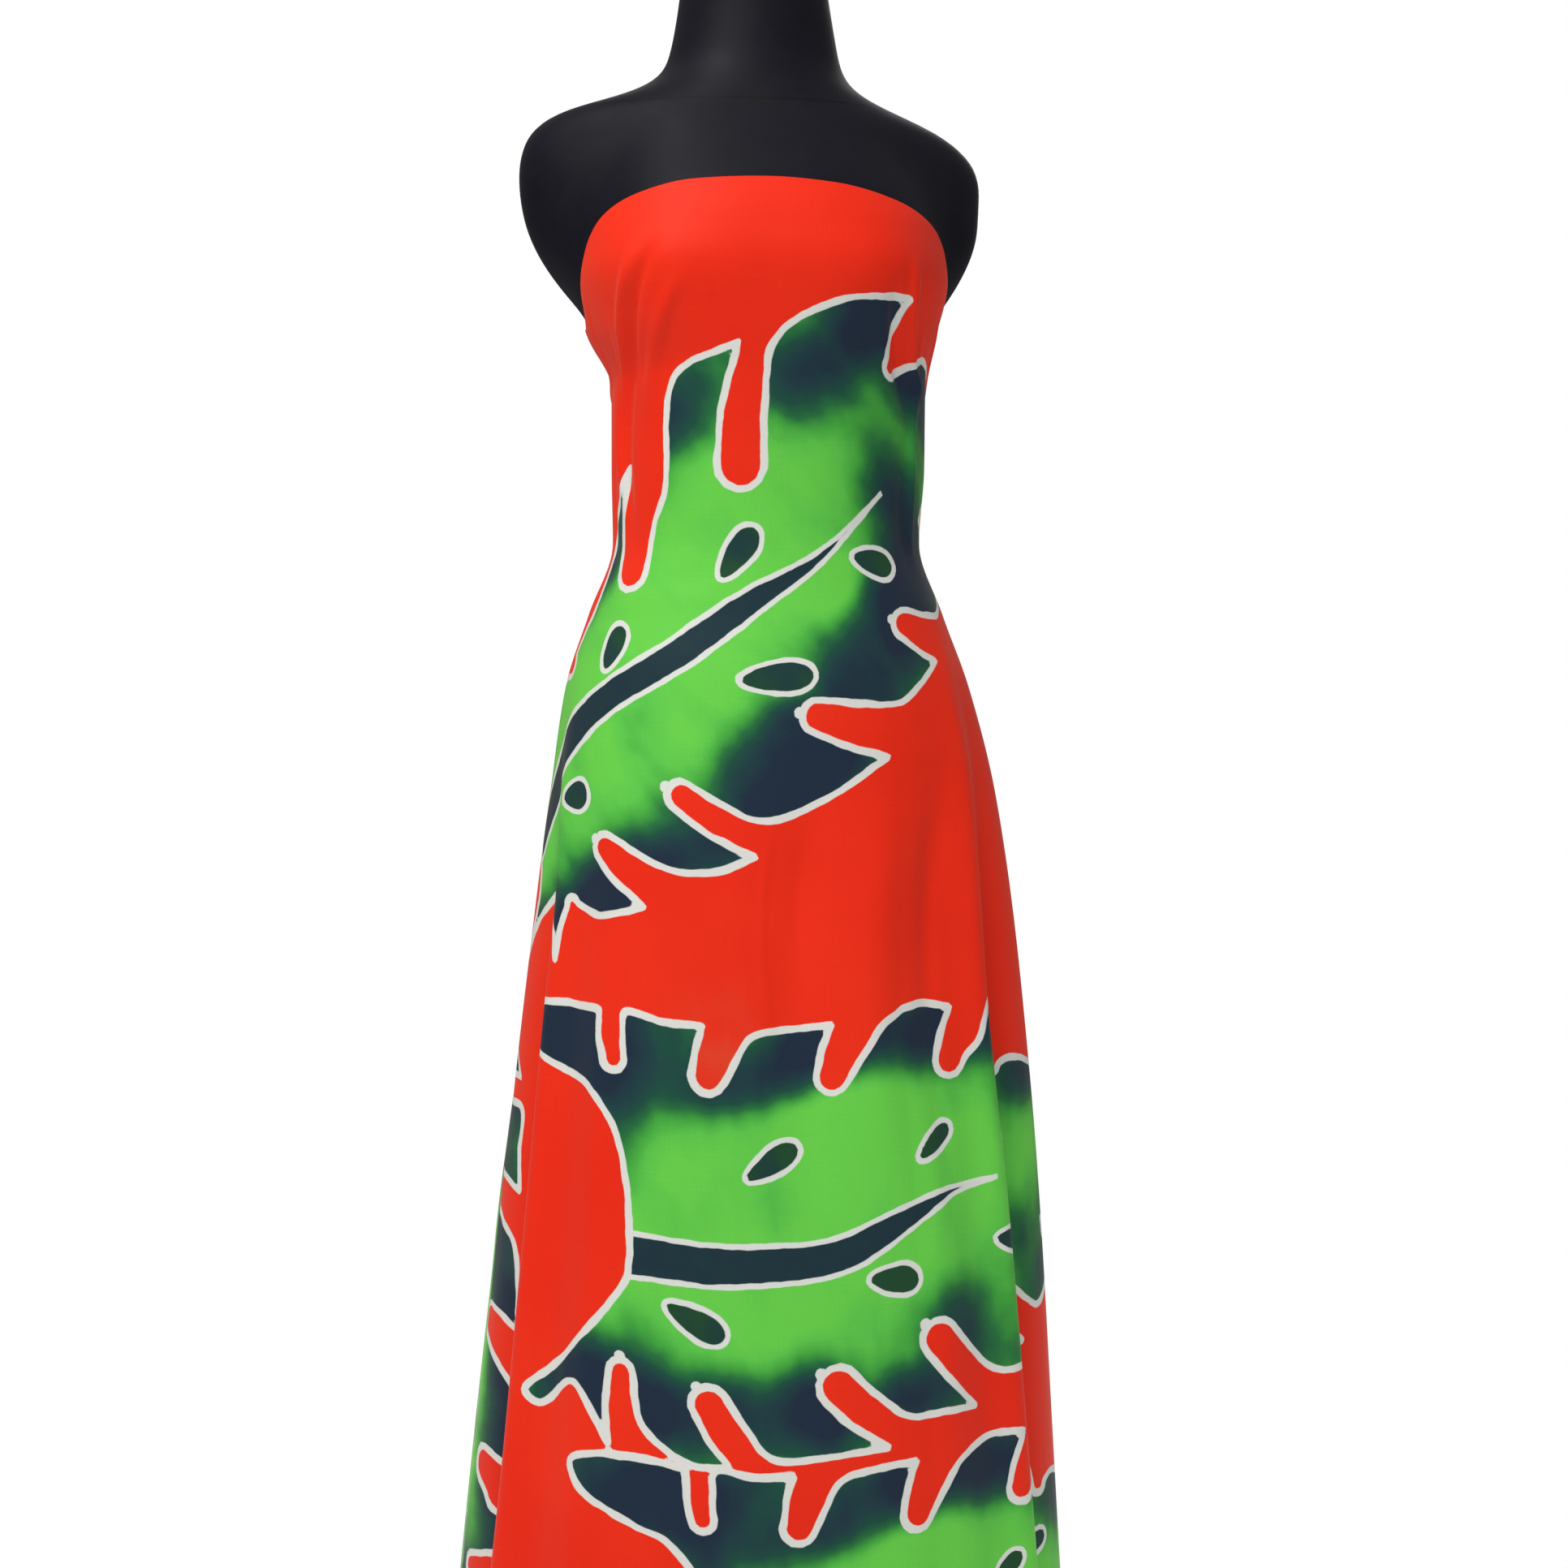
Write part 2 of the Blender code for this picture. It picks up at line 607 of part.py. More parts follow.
def make_pins(points, out, across):
    """Ball-headed pins that lie on the lap by its edge, with their points leaning in."""
    sides = 10
    profile = [(0.0, 0.0)]
    for count in range(1, 6):
        angle = math.pi * count / 6
        profile.append((PIN_HEAD_RADIUS * math.sin(angle), PIN_HEAD_RADIUS * (1 - math.cos(angle))))
    neck = 2 * PIN_HEAD_RADIUS
    profile[-1] = (PIN_SHAFT_RADIUS, neck - 0.0001)
    profile.append((PIN_SHAFT_RADIUS, PIN_LENGTH - 0.003))
    profile.append((PIN_SHAFT_RADIUS * 0.3, PIN_LENGTH))
    lap_points = points[:, 2]
    lap_out = out[:, 2]
    lap_along = across[:, 2]
    heights = lap_points[:, 2]
    for number, pin in enumerate(LAP_PINS, 1):
        spot = np.array([np.interp(-pin.height, -heights, lap_points[:, axis]) for axis in range(3)])
        normal = np.array([np.interp(-pin.height, -heights, lap_out[:, axis]) for axis in range(3)])
        normal /= np.linalg.norm(normal)
        along = np.array([np.interp(-pin.height, -heights, lap_along[:, axis]) for axis in range(3)])
        along -= normal * np.dot(along, normal)
        along /= np.linalg.norm(along)
        up = np.cross(normal, along)
        lean = math.radians(pin.lean)
        run = along * math.cos(lean) + up * math.sin(lean)
        drop = math.radians(2.6)
        run = run * math.cos(drop) - normal * math.sin(drop)
        rise = np.cross(run, np.cross(normal, run))
        rise /= np.linalg.norm(rise)
        other = np.cross(rise, run)
        start = spot + normal * (PIN_HEAD_RADIUS + PIN_LIFT + 0.0004) - run * PIN_HEAD_RADIUS
        rings = []
        for radius, step in profile[1:]:
            ring = []
            for count in range(sides):
                angle = 2 * math.pi * count / sides
                ring.append(start + run * step + radius * (rise * math.cos(angle) + other * math.sin(angle)))
            rings.append(ring)
        tip = start + run * (PIN_LENGTH + PIN_TIP)
        points_flat = [start] + [point for ring in rings for point in ring] + [tip]
        faces = []
        for count in range(sides):
            after = (count + 1) % sides
            faces.append((0, 1 + count, 1 + after))
            for row in range(len(rings) - 1):
                low = 1 + row * sides
                faces.append((low + after, low + count, low + sides + count, low + sides + after))
            low = 1 + (len(rings) - 1) * sides
            faces.append((low + after, low + count, len(points_flat) - 1))
        make_object(f"back_pin_{number}", points_flat, faces, "pin_pearl")


make_form()
make_stand()
make_pins(*make_cloth())
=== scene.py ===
"""Visual model of a batik sarong wound strapless round a black dress form.

The cloth is built as three fine sheets on the form of the CAD walls, with a wax-resist leaf print that is
worked out from leaf tables in the cloth's own metres. Everything stands in the frame of the CAD part, in
metres with +Z up.
"""

from __future__ import annotations

import json
import logging
import math
from dataclasses import dataclass, field
from enum import Enum

import bpy
import numpy as np
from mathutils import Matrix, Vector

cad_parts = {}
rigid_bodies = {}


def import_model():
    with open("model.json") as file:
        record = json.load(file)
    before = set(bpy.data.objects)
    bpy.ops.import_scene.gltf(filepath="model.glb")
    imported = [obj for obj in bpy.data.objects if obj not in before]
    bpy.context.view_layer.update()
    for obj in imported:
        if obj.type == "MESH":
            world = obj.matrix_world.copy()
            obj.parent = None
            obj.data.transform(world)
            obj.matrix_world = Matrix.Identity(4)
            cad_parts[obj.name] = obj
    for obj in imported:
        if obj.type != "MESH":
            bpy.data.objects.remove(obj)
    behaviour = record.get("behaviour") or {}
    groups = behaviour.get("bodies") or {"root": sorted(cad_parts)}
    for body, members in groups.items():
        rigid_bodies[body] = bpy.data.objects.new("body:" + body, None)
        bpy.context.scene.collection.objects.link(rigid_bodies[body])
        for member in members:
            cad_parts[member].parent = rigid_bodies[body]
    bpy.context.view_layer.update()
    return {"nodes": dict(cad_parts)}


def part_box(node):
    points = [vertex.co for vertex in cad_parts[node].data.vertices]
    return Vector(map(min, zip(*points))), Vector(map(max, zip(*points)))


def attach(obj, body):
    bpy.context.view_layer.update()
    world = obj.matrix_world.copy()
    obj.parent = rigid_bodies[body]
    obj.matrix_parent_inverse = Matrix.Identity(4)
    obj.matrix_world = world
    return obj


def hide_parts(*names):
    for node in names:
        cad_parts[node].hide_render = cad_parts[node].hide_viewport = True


LOG = logging.getLogger("sarong")
Point = tuple[float, float]
Colour = tuple[float, float, float]


def srgb(red: int, green: int, blue: int) -> Colour:
    """Turn a display colour into the linear values that shaders take.

    Args:
        red: Red from 0 to 255.
        green: Green from 0 to 255.
        blue: Blue from 0 to 255.

    Returns:
        The linear colour.
    """
    parts = [value / 255.0 for value in (red, green, blue)]
    return tuple(part / 12.92 if part <= 0.04045 else ((part + 0.055) / 1.055) ** 2.4 for part in parts)


class Dye(Enum):
    """Colours of the dye baths and of what stays bare, in linear values."""

    RED = srgb(236, 40, 8)
    RED_LIGHT = srgb(240, 48, 14)
    RED_DEEP = srgb(230, 34, 4)
    LIME = srgb(102, 206, 72)
    GREEN = srgb(90, 196, 72)
    LEAF = srgb(64, 164, 60)
    MOSS = srgb(34, 112, 58)
    PINE = srgb(20, 76, 60)
    SLATE = srgb(22, 58, 64)
    TEAL = srgb(18, 56, 56)
    NAVY = srgb(22, 40, 60)
    HOLE = srgb(24, 70, 42)
    WAX = srgb(222, 224, 218)
    STAIN = srgb(198, 96, 62)
    THREAD = srgb(196, 34, 20)
    SEAM = srgb(6, 6, 8)


# tables of the drape


@dataclass(frozen=True)
class Section:
    """Half sizes of the plain cloth section at one height."""

    height: float
    left: float
    right: float
    front: float
    back: float
    square: float


@dataclass(frozen=True)
class Crest:
    """Arcs from the centre front to the two side fold crests at one height."""

    height: float
    left: float
    right: float


@dataclass(frozen=True)
class FoldRow:
    """One point of a side fold's plan at full depth."""

    plain: float
    along: float
    out: float


@dataclass(frozen=True)
class SideFold:
    """Where a side fold starts, where it is full, and its depth."""

    side: int
    start: float
    full: float
    depth: float


@dataclass(frozen=True)
class FlareFold:
    """A soft fold that widens to the hem."""

    side: int
    share: float
    start: float
    rise: float
    half_width: float


@dataclass(frozen=True)
class Swell:
    """A shallow rise or hollow of the front stretch."""

    arc: float
    height: float
    arc_reach: float
    height_reach: float
    rise: float


@dataclass(frozen=True)
class Crease:
    """A soft ridge or trough along a line, in metres from the centre front and down from the top."""

    u0: float
    v0: float
    u1: float
    v1: float
    width: float
    rise: float


SECTIONS = [
    Section(1.262, 0.1420, 0.1500, 0.1180, 0.0985, 2.30),
    Section(1.231, 0.1470, 0.1580, 0.1290, 0.1020, 2.30),
    Section(1.198, 0.1500, 0.1600, 0.1350, 0.1050, 2.30),
    Section(1.155, 0.1380, 0.1500, 0.1300, 0.1030, 2.25),
    Section(1.111, 0.1175, 0.1410, 0.1220, 0.0980, 2.20),
    Section(1.045, 0.1175, 0.1405, 0.1130, 0.0890, 2.15),
    Section(0.983, 0.1165, 0.1365, 0.1080, 0.0820, 2.10),
    Section(0.925, 0.1360, 0.1560, 0.1120, 0.0960, 2.15),
    Section(0.866, 0.1550, 0.1775, 0.1220, 0.1200, 2.20),
    Section(0.778, 0.1680, 0.1995, 0.1300, 0.1350, 2.25),
    Section(0.617, 0.1880, 0.2215, 0.1450, 0.1500, 2.25),
    Section(0.456, 0.2068, 0.2350, 0.1580, 0.1650, 2.25),
    Section(0.253, 0.2285, 0.2465, 0.1720, 0.1800, 2.25),
    Section(0.120, 0.2420, 0.2540, 0.1820, 0.1900, 2.25),
]

TOP_EDGE: list[Point] = [
    (-180, 1.205), (-140, 1.200), (-118, 1.182), (-104, 1.163), (-92, 1.157), (-84, 1.164), (-77, 1.188),
    (-70, 1.222), (-62, 1.238), (-48, 1.251), (-28, 1.260), (0, 1.262), (24, 1.259), (46, 1.249),
    (62, 1.234),
    (70, 1.219), (77, 1.188),
    (84, 1.164), (92, 1.157), (104, 1.163), (118, 1.182), (140, 1.200), (180, 1.205),
]

CRESTS = [
    Crest(1.262, 0.160, 0.165), Crest(1.198, 0.170, 0.175), Crest(1.111, 0.150, 0.160),
    Crest(0.983, 0.145, 0.152), Crest(0.917, 0.159, 0.160), Crest(0.866, 0.173, 0.164),
    Crest(0.778, 0.186, 0.174), Crest(0.700, 0.185, 0.176), Crest(0.617, 0.1925, 0.179),
    Crest(0.456, 0.205, 0.196), Crest(0.253, 0.2245, 0.216), Crest(0.120, 0.2415, 0.229),
]

FOLD_SHAPE = [
    FoldRow(-0.095, -0.0950, 0.0000), FoldRow(-0.070, -0.0700, 0.0030), FoldRow(-0.050, -0.0500, -0.0015),
    FoldRow(-0.034, -0.0340, -0.0045), FoldRow(-0.020, -0.0200, -0.0020), FoldRow(-0.010, -0.0090, 0.0030),
    FoldRow(-0.003, -0.0010, 0.0060), FoldRow(0.004, 0.0065, 0.0050), FoldRow(0.010, 0.0115, 0.0000),
    FoldRow(0.016, 0.0125, -0.0065), FoldRow(0.022, 0.0100, -0.0130), FoldRow(0.028, 0.0080, -0.0195),
    FoldRow(0.035, 0.0105, -0.0250), FoldRow(0.043, 0.0190, -0.0270), FoldRow(0.054, 0.0340, -0.0220),
    FoldRow(0.068, 0.0540, -0.0120), FoldRow(0.084, 0.0770, -0.0040), FoldRow(0.100, 0.0980, 0.0000),
]

SIDE_FOLDS = [SideFold(-1, 0.900, 0.330, 1.00), SideFold(1, 0.955, 0.380, 0.80)]

FLARE_FOLDS = [
    FlareFold(-1, 0.615, 0.930, 0.012, 0.036), FlareFold(-1, 0.780, 0.960, 0.018, 0.042),
    FlareFold(1, 0.635, 0.940, 0.011, 0.036), FlareFold(1, 0.820, 0.960, 0.019, 0.044),
]

SWELLS = [
    Swell(0.130, 0.700, 0.030, 0.120, -0.0045), Swell(0.060, 0.640, 0.040, 0.200, 0.0025),
    Swell(-0.020, 0.230, 0.085, 0.080, 0.0060), Swell(0.150, 0.180, 0.028, 0.110, -0.0050),
    Swell(-0.120, 0.420, 0.045, 0.160, 0.0035), Swell(0.030, 0.860, 0.060, 0.060, 0.0025),
]

CREASES = [
    Crease(-0.078, 0.440, -0.082, 0.860, 0.0400, 0.0055),
    Crease(0.040, 0.460, 0.042, 0.880, 0.0230, -0.0052),
    Crease(0.104, 0.470, 0.108, 0.880, 0.0240, 0.0052),
    Crease(0.146, 0.480, 0.152, 0.840, 0.0130, -0.0034),
    Crease(-0.112, 0.056, -0.142, 0.190, 0.0058, 0.0050),
    Crease(-0.092, 0.052, -0.126, 0.165, 0.0056, -0.0042),
    Crease(-0.072, 0.080, -0.106, 0.200, 0.0075, 0.0036),
    Crease(-0.146, 0.110, -0.136, 0.270, 0.0055, 0.0038),
    Crease(-0.128, 0.150, -0.122, 0.290, 0.0070, -0.0032),
    Crease(-0.164, 0.150, -0.152, 0.310, 0.0060, -0.0022),
    Crease(0.126, 0.062, 0.148, 0.180, 0.0062, 0.0050),
    Crease(0.104, 0.080, 0.134, 0.195, 0.0068, -0.0038),
    Crease(0.152, 0.120, 0.143, 0.300, 0.0060, 0.0042),
    Crease(0.138, 0.170, 0.130, 0.310, 0.0075, -0.0020),
    Crease(0.004, 0.500, 0.002, 0.700, 0.0035, 0.0007),
    Crease(0.028, 0.520, 0.026, 0.660, 0.0050, -0.0005),
    Crease(-0.090, 0.330, -0.020, 0.300, 0.0120, -0.0010),
    Crease(0.020, 0.305, 0.100, 0.345, 0.0110, -0.0009),
    Crease(-0.150, 0.470, -0.070, 0.420, 0.0130, 0.0010),
    Crease(0.075, 0.430, 0.150, 0.470, 0.0120, 0.0010),
    Crease(-0.200, 0.080, -0.250, 0.190, 0.0070, 0.0016),
    Crease(0.210, 0.090, 0.260, 0.200, 0.0070, 0.0016),
    Crease(-0.270, 0.330, -0.200, 0.260, 0.0090, -0.0016),
    Crease(0.280, 0.340, 0.215, 0.265, 0.0090, -0.0015),
    Crease(-0.500, 0.112, -0.405, 0.150, 0.0065, 0.0020),
    Crease(-0.462, 0.160, -0.372, 0.214, 0.0070, 0.0017),
    Crease(-0.430, 0.214, -0.350, 0.272, 0.0065, 0.0019),
    Crease(-0.380, 0.470, -0.405, 0.880, 0.0300, 0.0068),
    Crease(-0.440, 0.600, -0.480, 1.000, 0.0210, -0.0048),
    Crease(-0.300, 0.520, -0.325, 0.800, 0.0180, -0.0030),
    Crease(0.385, 0.460, 0.410, 0.900, 0.0280, 0.0064),
    Crease(0.450, 0.600, 0.490, 1.020, 0.0200, -0.0048),
    Crease(0.305, 0.500, 0.330, 0.780, 0.0160, -0.0028),
    Crease(-0.330, 0.360, -0.290, 0.240, 0.0080, 0.0018),
    Crease(0.340, 0.370, 0.300, 0.250, 0.0080, 0.0017),
]

TOP_HEIGHT = 1.262
HEM_HEIGHT = 0.120
EDGE_FADE_HEIGHT = 0.980
HEM_SIDE_RISE = 0.010
HEM_RISE_FROM = 0.45
"""Heights of the cloth's edges, and how the hem lifts at the sides, in metres."""

SPLIT_PLACE = 0.035
LAP_WIDTH = 0.090
UNDER_WIDTH = 0.060
LAP_STEP = 0.0020
LAP_BLEND = 0.030
LAP_FULL = 0.006
"""Where stretches meet in a side fold, and the lap at the back, in metres."""

BUST_RISE = 0.007
BUST_ANGLE = 38.0
BUST_SPREAD = 19.0
BUST_HEIGHT = 1.192
BUST_REACH = 0.050
"""The two soft rises over the bust, in metres and degrees."""

CREASE_BOW = 0.06
CREASE_START = 0.2
CREASE_IN = 0.35
CREASE_OUT = 0.45
"""How a crease bows and fades in and out, as shares of its length."""

TABLE_HEIGHTS = (0.112, 1.268, 232)
TABLE_DEGREES = (-300.0, 300.0, 1201)
TABLE_MIDDLE = 600
TABLE_SHARES = (-1.5, 1.5, 1501)
TABLE_END = 1.001
SHARE_STEP = 0.0015
"""How finely the plain section is tabled."""


def smooth_rows(xs: list[float], ys: list[float], at: np.ndarray, keep_turns: bool = True) -> np.ndarray:
    """Carry table values smoothly between rows.

    Args:
        xs: Row places, in any order.
        ys: Row values.
        at: Places that are asked for.
        keep_turns: Whether a turn in the table may not be overshot.

    Returns:
        The values at those places.
    """
    order = np.argsort(xs)
    x = np.asarray(xs, float)[order]
    y = np.asarray(ys, float)[order]
    step = np.diff(x)
    slope = np.diff(y) / step
    lean = np.empty(len(x))
    if keep_turns:
        safe_low = np.where(slope[:-1] == 0, 1, slope[:-1])
        safe_high = np.where(slope[1:] == 0, 1, slope[1:])
        mixed = (2 * step[1:] + step[:-1]) / safe_low + (step[1:] + 2 * step[:-1]) / safe_high
        rising = slope[1:] * slope[:-1] > 0
        lean[1:-1] = np.where(rising, 3 * (step[1:] + step[:-1]) / np.where(rising, mixed, 1), 0.0)
    else:
        lean[1:-1] = (slope[:-1] * step[1:] + slope[1:] * step[:-1]) / (step[1:] + step[:-1])
    lean[0], lean[-1] = slope[0], slope[-1]
    at = np.clip(np.asarray(at, float), x[0], x[-1])
    row = np.clip(np.searchsorted(x, at) - 1, 0, len(x) - 2)
    part = (at - x[row]) / step[row]
    value = (1 + 2 * part) * (1 - part) ** 2 * y[row] + part**2 * (3 - 2 * part) * y[row + 1]
    return value + (part * (1 - part) ** 2 * lean[row] - part**2 * (1 - part) * lean[row + 1]) * step[row]


def ramp(value: np.ndarray) -> np.ndarray:
    """Ease from 0 to 1 as a value goes from 0 to 1.

    Args:
        value: Any values.

    Returns:
        Eased values from 0 to 1.
    """
    part = np.clip(value, 0.0, 1.0)
    return part * part * (3 - 2 * part)


def degrees_round(angle: np.ndarray) -> np.ndarray:
    """Turn angles into degrees from the centre front.

    Args:
        angle: Angles in radians.

    Returns:
        Degrees from -180 to 180.
    """
    return (np.degrees(angle) + 180.0) % 360.0 - 180.0


def hump(value: np.ndarray) -> np.ndarray:
    """A soft bell that is 1 at 0.

    Args:
        value: Distance in half widths.

    Returns:
        The bell's height.
    """
    return np.exp(-np.square(value))


class Drape:
    """The form of the wound cloth, walked by arc round the form and by height."""

    def __init__(self) -> None:
        """Work out arcs and angles of the plain section at many heights."""
        self.heights = np.linspace(*TABLE_HEIGHTS)
        angles = np.radians(np.linspace(*TABLE_DEGREES))
        radius = self.radius(angles[None, :], self.heights[:, None])
        x, y = radius * np.sin(angles), -radius * np.cos(angles)
        walked = np.cumsum(np.hypot(np.diff(x, axis=1), np.diff(y, axis=1)), axis=1)
        arcs = np.concatenate([np.zeros((len(self.heights), 1)), walked], axis=1)
        arcs -= arcs[:, TABLE_MIDDLE:TABLE_MIDDLE + 1]
        self.half_right = np.array([np.interp(math.pi, angles, row) for row in arcs])
        self.half_left = np.array([-np.interp(-math.pi, angles, row) for row in arcs])
        self.shares = np.linspace(*TABLE_SHARES)
        self.angle_table = np.empty((len(self.heights), len(self.shares)))
        for number, row in enumerate(arcs):
            half = np.where(self.shares > 0, self.half_right[number], self.half_left[number])
            self.angle_table[number] = np.interp(self.shares * half, row, angles)

    @staticmethod
    def radius(angle: np.ndarray, height: np.ndarray) -> np.ndarray:
        """Radius of the plain cloth at an angle and height.

        Args:
            angle: Angle from the centre front in radians.
            height: Height in metres.

        Returns:
            The radius in metres.
        """
        rows = [row.height for row in SECTIONS]
        left, right, front, back, square = (
            smooth_rows(rows, [getattr(row, name) for row in SECTIONS], height)
            for name in ("left", "right", "front", "back", "square")
        )
        side = np.where(np.sin(angle) > 0, right, left)
        depth = np.where(np.cos(angle) > 0, front, back)
        reach = np.abs(np.sin(angle) / side) ** square + np.abs(np.cos(angle) / depth) ** square
        degrees = degrees_round(angle)
        both = hump((degrees - BUST_ANGLE) / BUST_SPREAD) + hump((degrees + BUST_ANGLE) / BUST_SPREAD)
        return reach ** (-1.0 / square) + BUST_RISE * both * hump((height - BUST_HEIGHT) / BUST_REACH)

    def halves(self, height: np.ndarray) -> tuple[np.ndarray, np.ndarray]:
        """Arcs from the centre front to the centre back.

        Args:
            height: Heights in metres.

        Returns:
            The arc round the left and the arc round the right.
        """
        left = np.interp(height, self.heights, self.half_left)
        return left, np.interp(height, self.heights, self.half_right)

    @staticmethod
    def cell(value: np.ndarray, table: np.ndarray) -> np.ndarray:
        """Place of a value in an evenly spaced table.

        Args:
            value: Values.
            table: The table.

        Returns:
            Row numbers with their fractions.
        """
        return np.clip((value - table[0]) / (table[1] - table[0]), 0, len(table) - TABLE_END)

    def angle(self, share: np.ndarray, height: np.ndarray) -> np.ndarray:
        """Angle at a share of the way from the centre front to the centre back.

        Args:
            share: From -1 at the back round the left to 1 at the back round the right, past them in a lap.
            height: Heights in metres.

        Returns:
            Angles in radians.
        """
        row = self.cell(height, self.heights)
        col = self.cell(share, self.shares)
        low_row, low_col = row.astype(int), col.astype(int)
        down, across = row - low_row, col - low_col
        table = self.angle_table
        first = table[low_row, low_col] * (1 - across) + table[low_row, low_col + 1] * across
        second = table[low_row + 1, low_col] * (1 - across) + table[low_row + 1, low_col + 1] * across
        return first * (1 - down) + second * down

    def plan(self, share: np.ndarray, height: np.ndarray) -> np.ndarray:
        """Plain plan position at a share and height.

        Args:
            share: Share of the way round.
            height: Heights in metres.

        Returns:
            Positions with X and Y last.
        """
        angle = self.angle(share, height)
        radius = self.radius(angle, height)
        return np.stack([radius * np.sin(angle), -radius * np.cos(angle)], axis=-1)

    def rise(self, arc: np.ndarray, height: np.ndarray, scale: np.ndarray) -> np.ndarray:
        """How far flare folds and swells lift the cloth.

        Args:
            arc: Arcs from the centre front.
            height: Heights in metres.
            scale: Girth as a share of the hem's.

        Returns:
            The lift in metres.
        """
        left, right = self.halves(height)
        around = left + right
        arc = np.where(arc < -left, arc + around, arc)
        arc = np.where(arc > right, arc - around, arc)
        total = np.zeros_like(arc)
        for fold in FLARE_FOLDS:
            half = right if fold.side > 0 else left
            away = np.abs(arc - fold.side * fold.share * half)
            away = np.minimum(away, around - away)
            growth = ramp((fold.start - height) / (fold.start - HEM_HEIGHT)) ** 0.9
            total += fold.rise * growth * hump(away / (fold.half_width * scale))
        for swell in SWELLS:
            total += swell.rise * hump((arc - swell.arc) / swell.arc_reach) * hump(
                (height - swell.height) / swell.height_reach)
        return total

    def wrap(self, plan: "WrapPlan") -> "Wrap":
        """Build the fine grid of the whole wound cloth.

        Args:
            plan: Counts of rows and columns.

        Returns:
            The grid with its cloth coordinates.
        """
        levels = plan.levels()
        hem_left, hem_right = self.halves(np.array([HEM_HEIGHT]))
        hem_girth = float(hem_left[0] + hem_right[0])
        left, right = self.halves(levels)
        scale = (left + right) / hem_girth
        crest_rows = [row.height for row in CRESTS]
        crest_left = smooth_rows(crest_rows, [row.left for row in CRESTS], levels)
        crest_right = smooth_rows(crest_rows, [row.right for row in CRESTS], levels)
        arcs, places, sides, cuts = plan.columns(left, right, crest_left, crest_right, scale)
        halves = np.where(arcs > 0, right[:, None], left[:, None])
        share = arcs / halves
        height = np.repeat(levels[:, None], arcs.shape[1], axis=1)
        fade = np.maximum(0.0, (levels - EDGE_FADE_HEIGHT) / (TOP_HEIGHT - EDGE_FADE_HEIGHT)) ** 1.5
        angle = self.angle(share, height)
        degrees = degrees_round(angle)
        edge = smooth_rows([row[0] for row in TOP_EDGE], [row[1] for row in TOP_EDGE], degrees)
        height = height + (edge - TOP_HEIGHT) * fade[:, None]
        hem_part = ramp((HEM_RISE_FROM - levels) / (HEM_RISE_FROM - HEM_HEIGHT))
        height += HEM_SIDE_RISE * hem_part[:, None] * np.sin(angle) ** 2
        left_now, right_now = self.halves(height)
        arc_now = share * np.where(arcs > 0, right_now, left_now)
        wide = np.repeat(scale[:, None], arcs.shape[1], axis=1)
        lift = self.rise(arc_now, height, wide)
        shift = np.zeros_like(lift)
        for fold in SIDE_FOLDS:
            mine = sides == fold.side
            depth = fold.depth * ramp((fold.start - height[:, mine]) / (fold.start - fold.full)) ** 0.8
            rows = [row.plain for row in FOLD_SHAPE]
            out = smooth_rows(rows, [row.out for row in FOLD_SHAPE], places[mine], keep_turns=False)
            extra = [row.along - row.plain for row in FOLD_SHAPE]
            along = smooth_rows(rows, extra, places[mine], keep_turns=False)
            lift[:, mine] += depth * out
            shift[:, mine] += fold.side * depth * along
        under_end = left_now - UNDER_WIDTH * wide
        lap = ramp((-arc_now - under_end + LAP_BLEND) / (LAP_BLEND - LAP_FULL))
        lift += np.where(arc_now < 0, LAP_STEP * lap, 0.0)
        spot = self.plan(share, height)
        ahead = self.plan(share + SHARE_STEP, height) - self.plan(share - SHARE_STEP, height)
        ahead /= np.linalg.norm(ahead, axis=-1, keepdims=True)
        out = np.stack([ahead[..., 1], -ahead[..., 0]], axis=-1)
        spot = spot + out * lift[..., None] + ahead * shift[..., None]
        points = np.concatenate([spot, height[..., None]], axis=-1)
        return Wrap.from_points(points, edge[0], cuts, plan.centre_column(cuts, arcs))


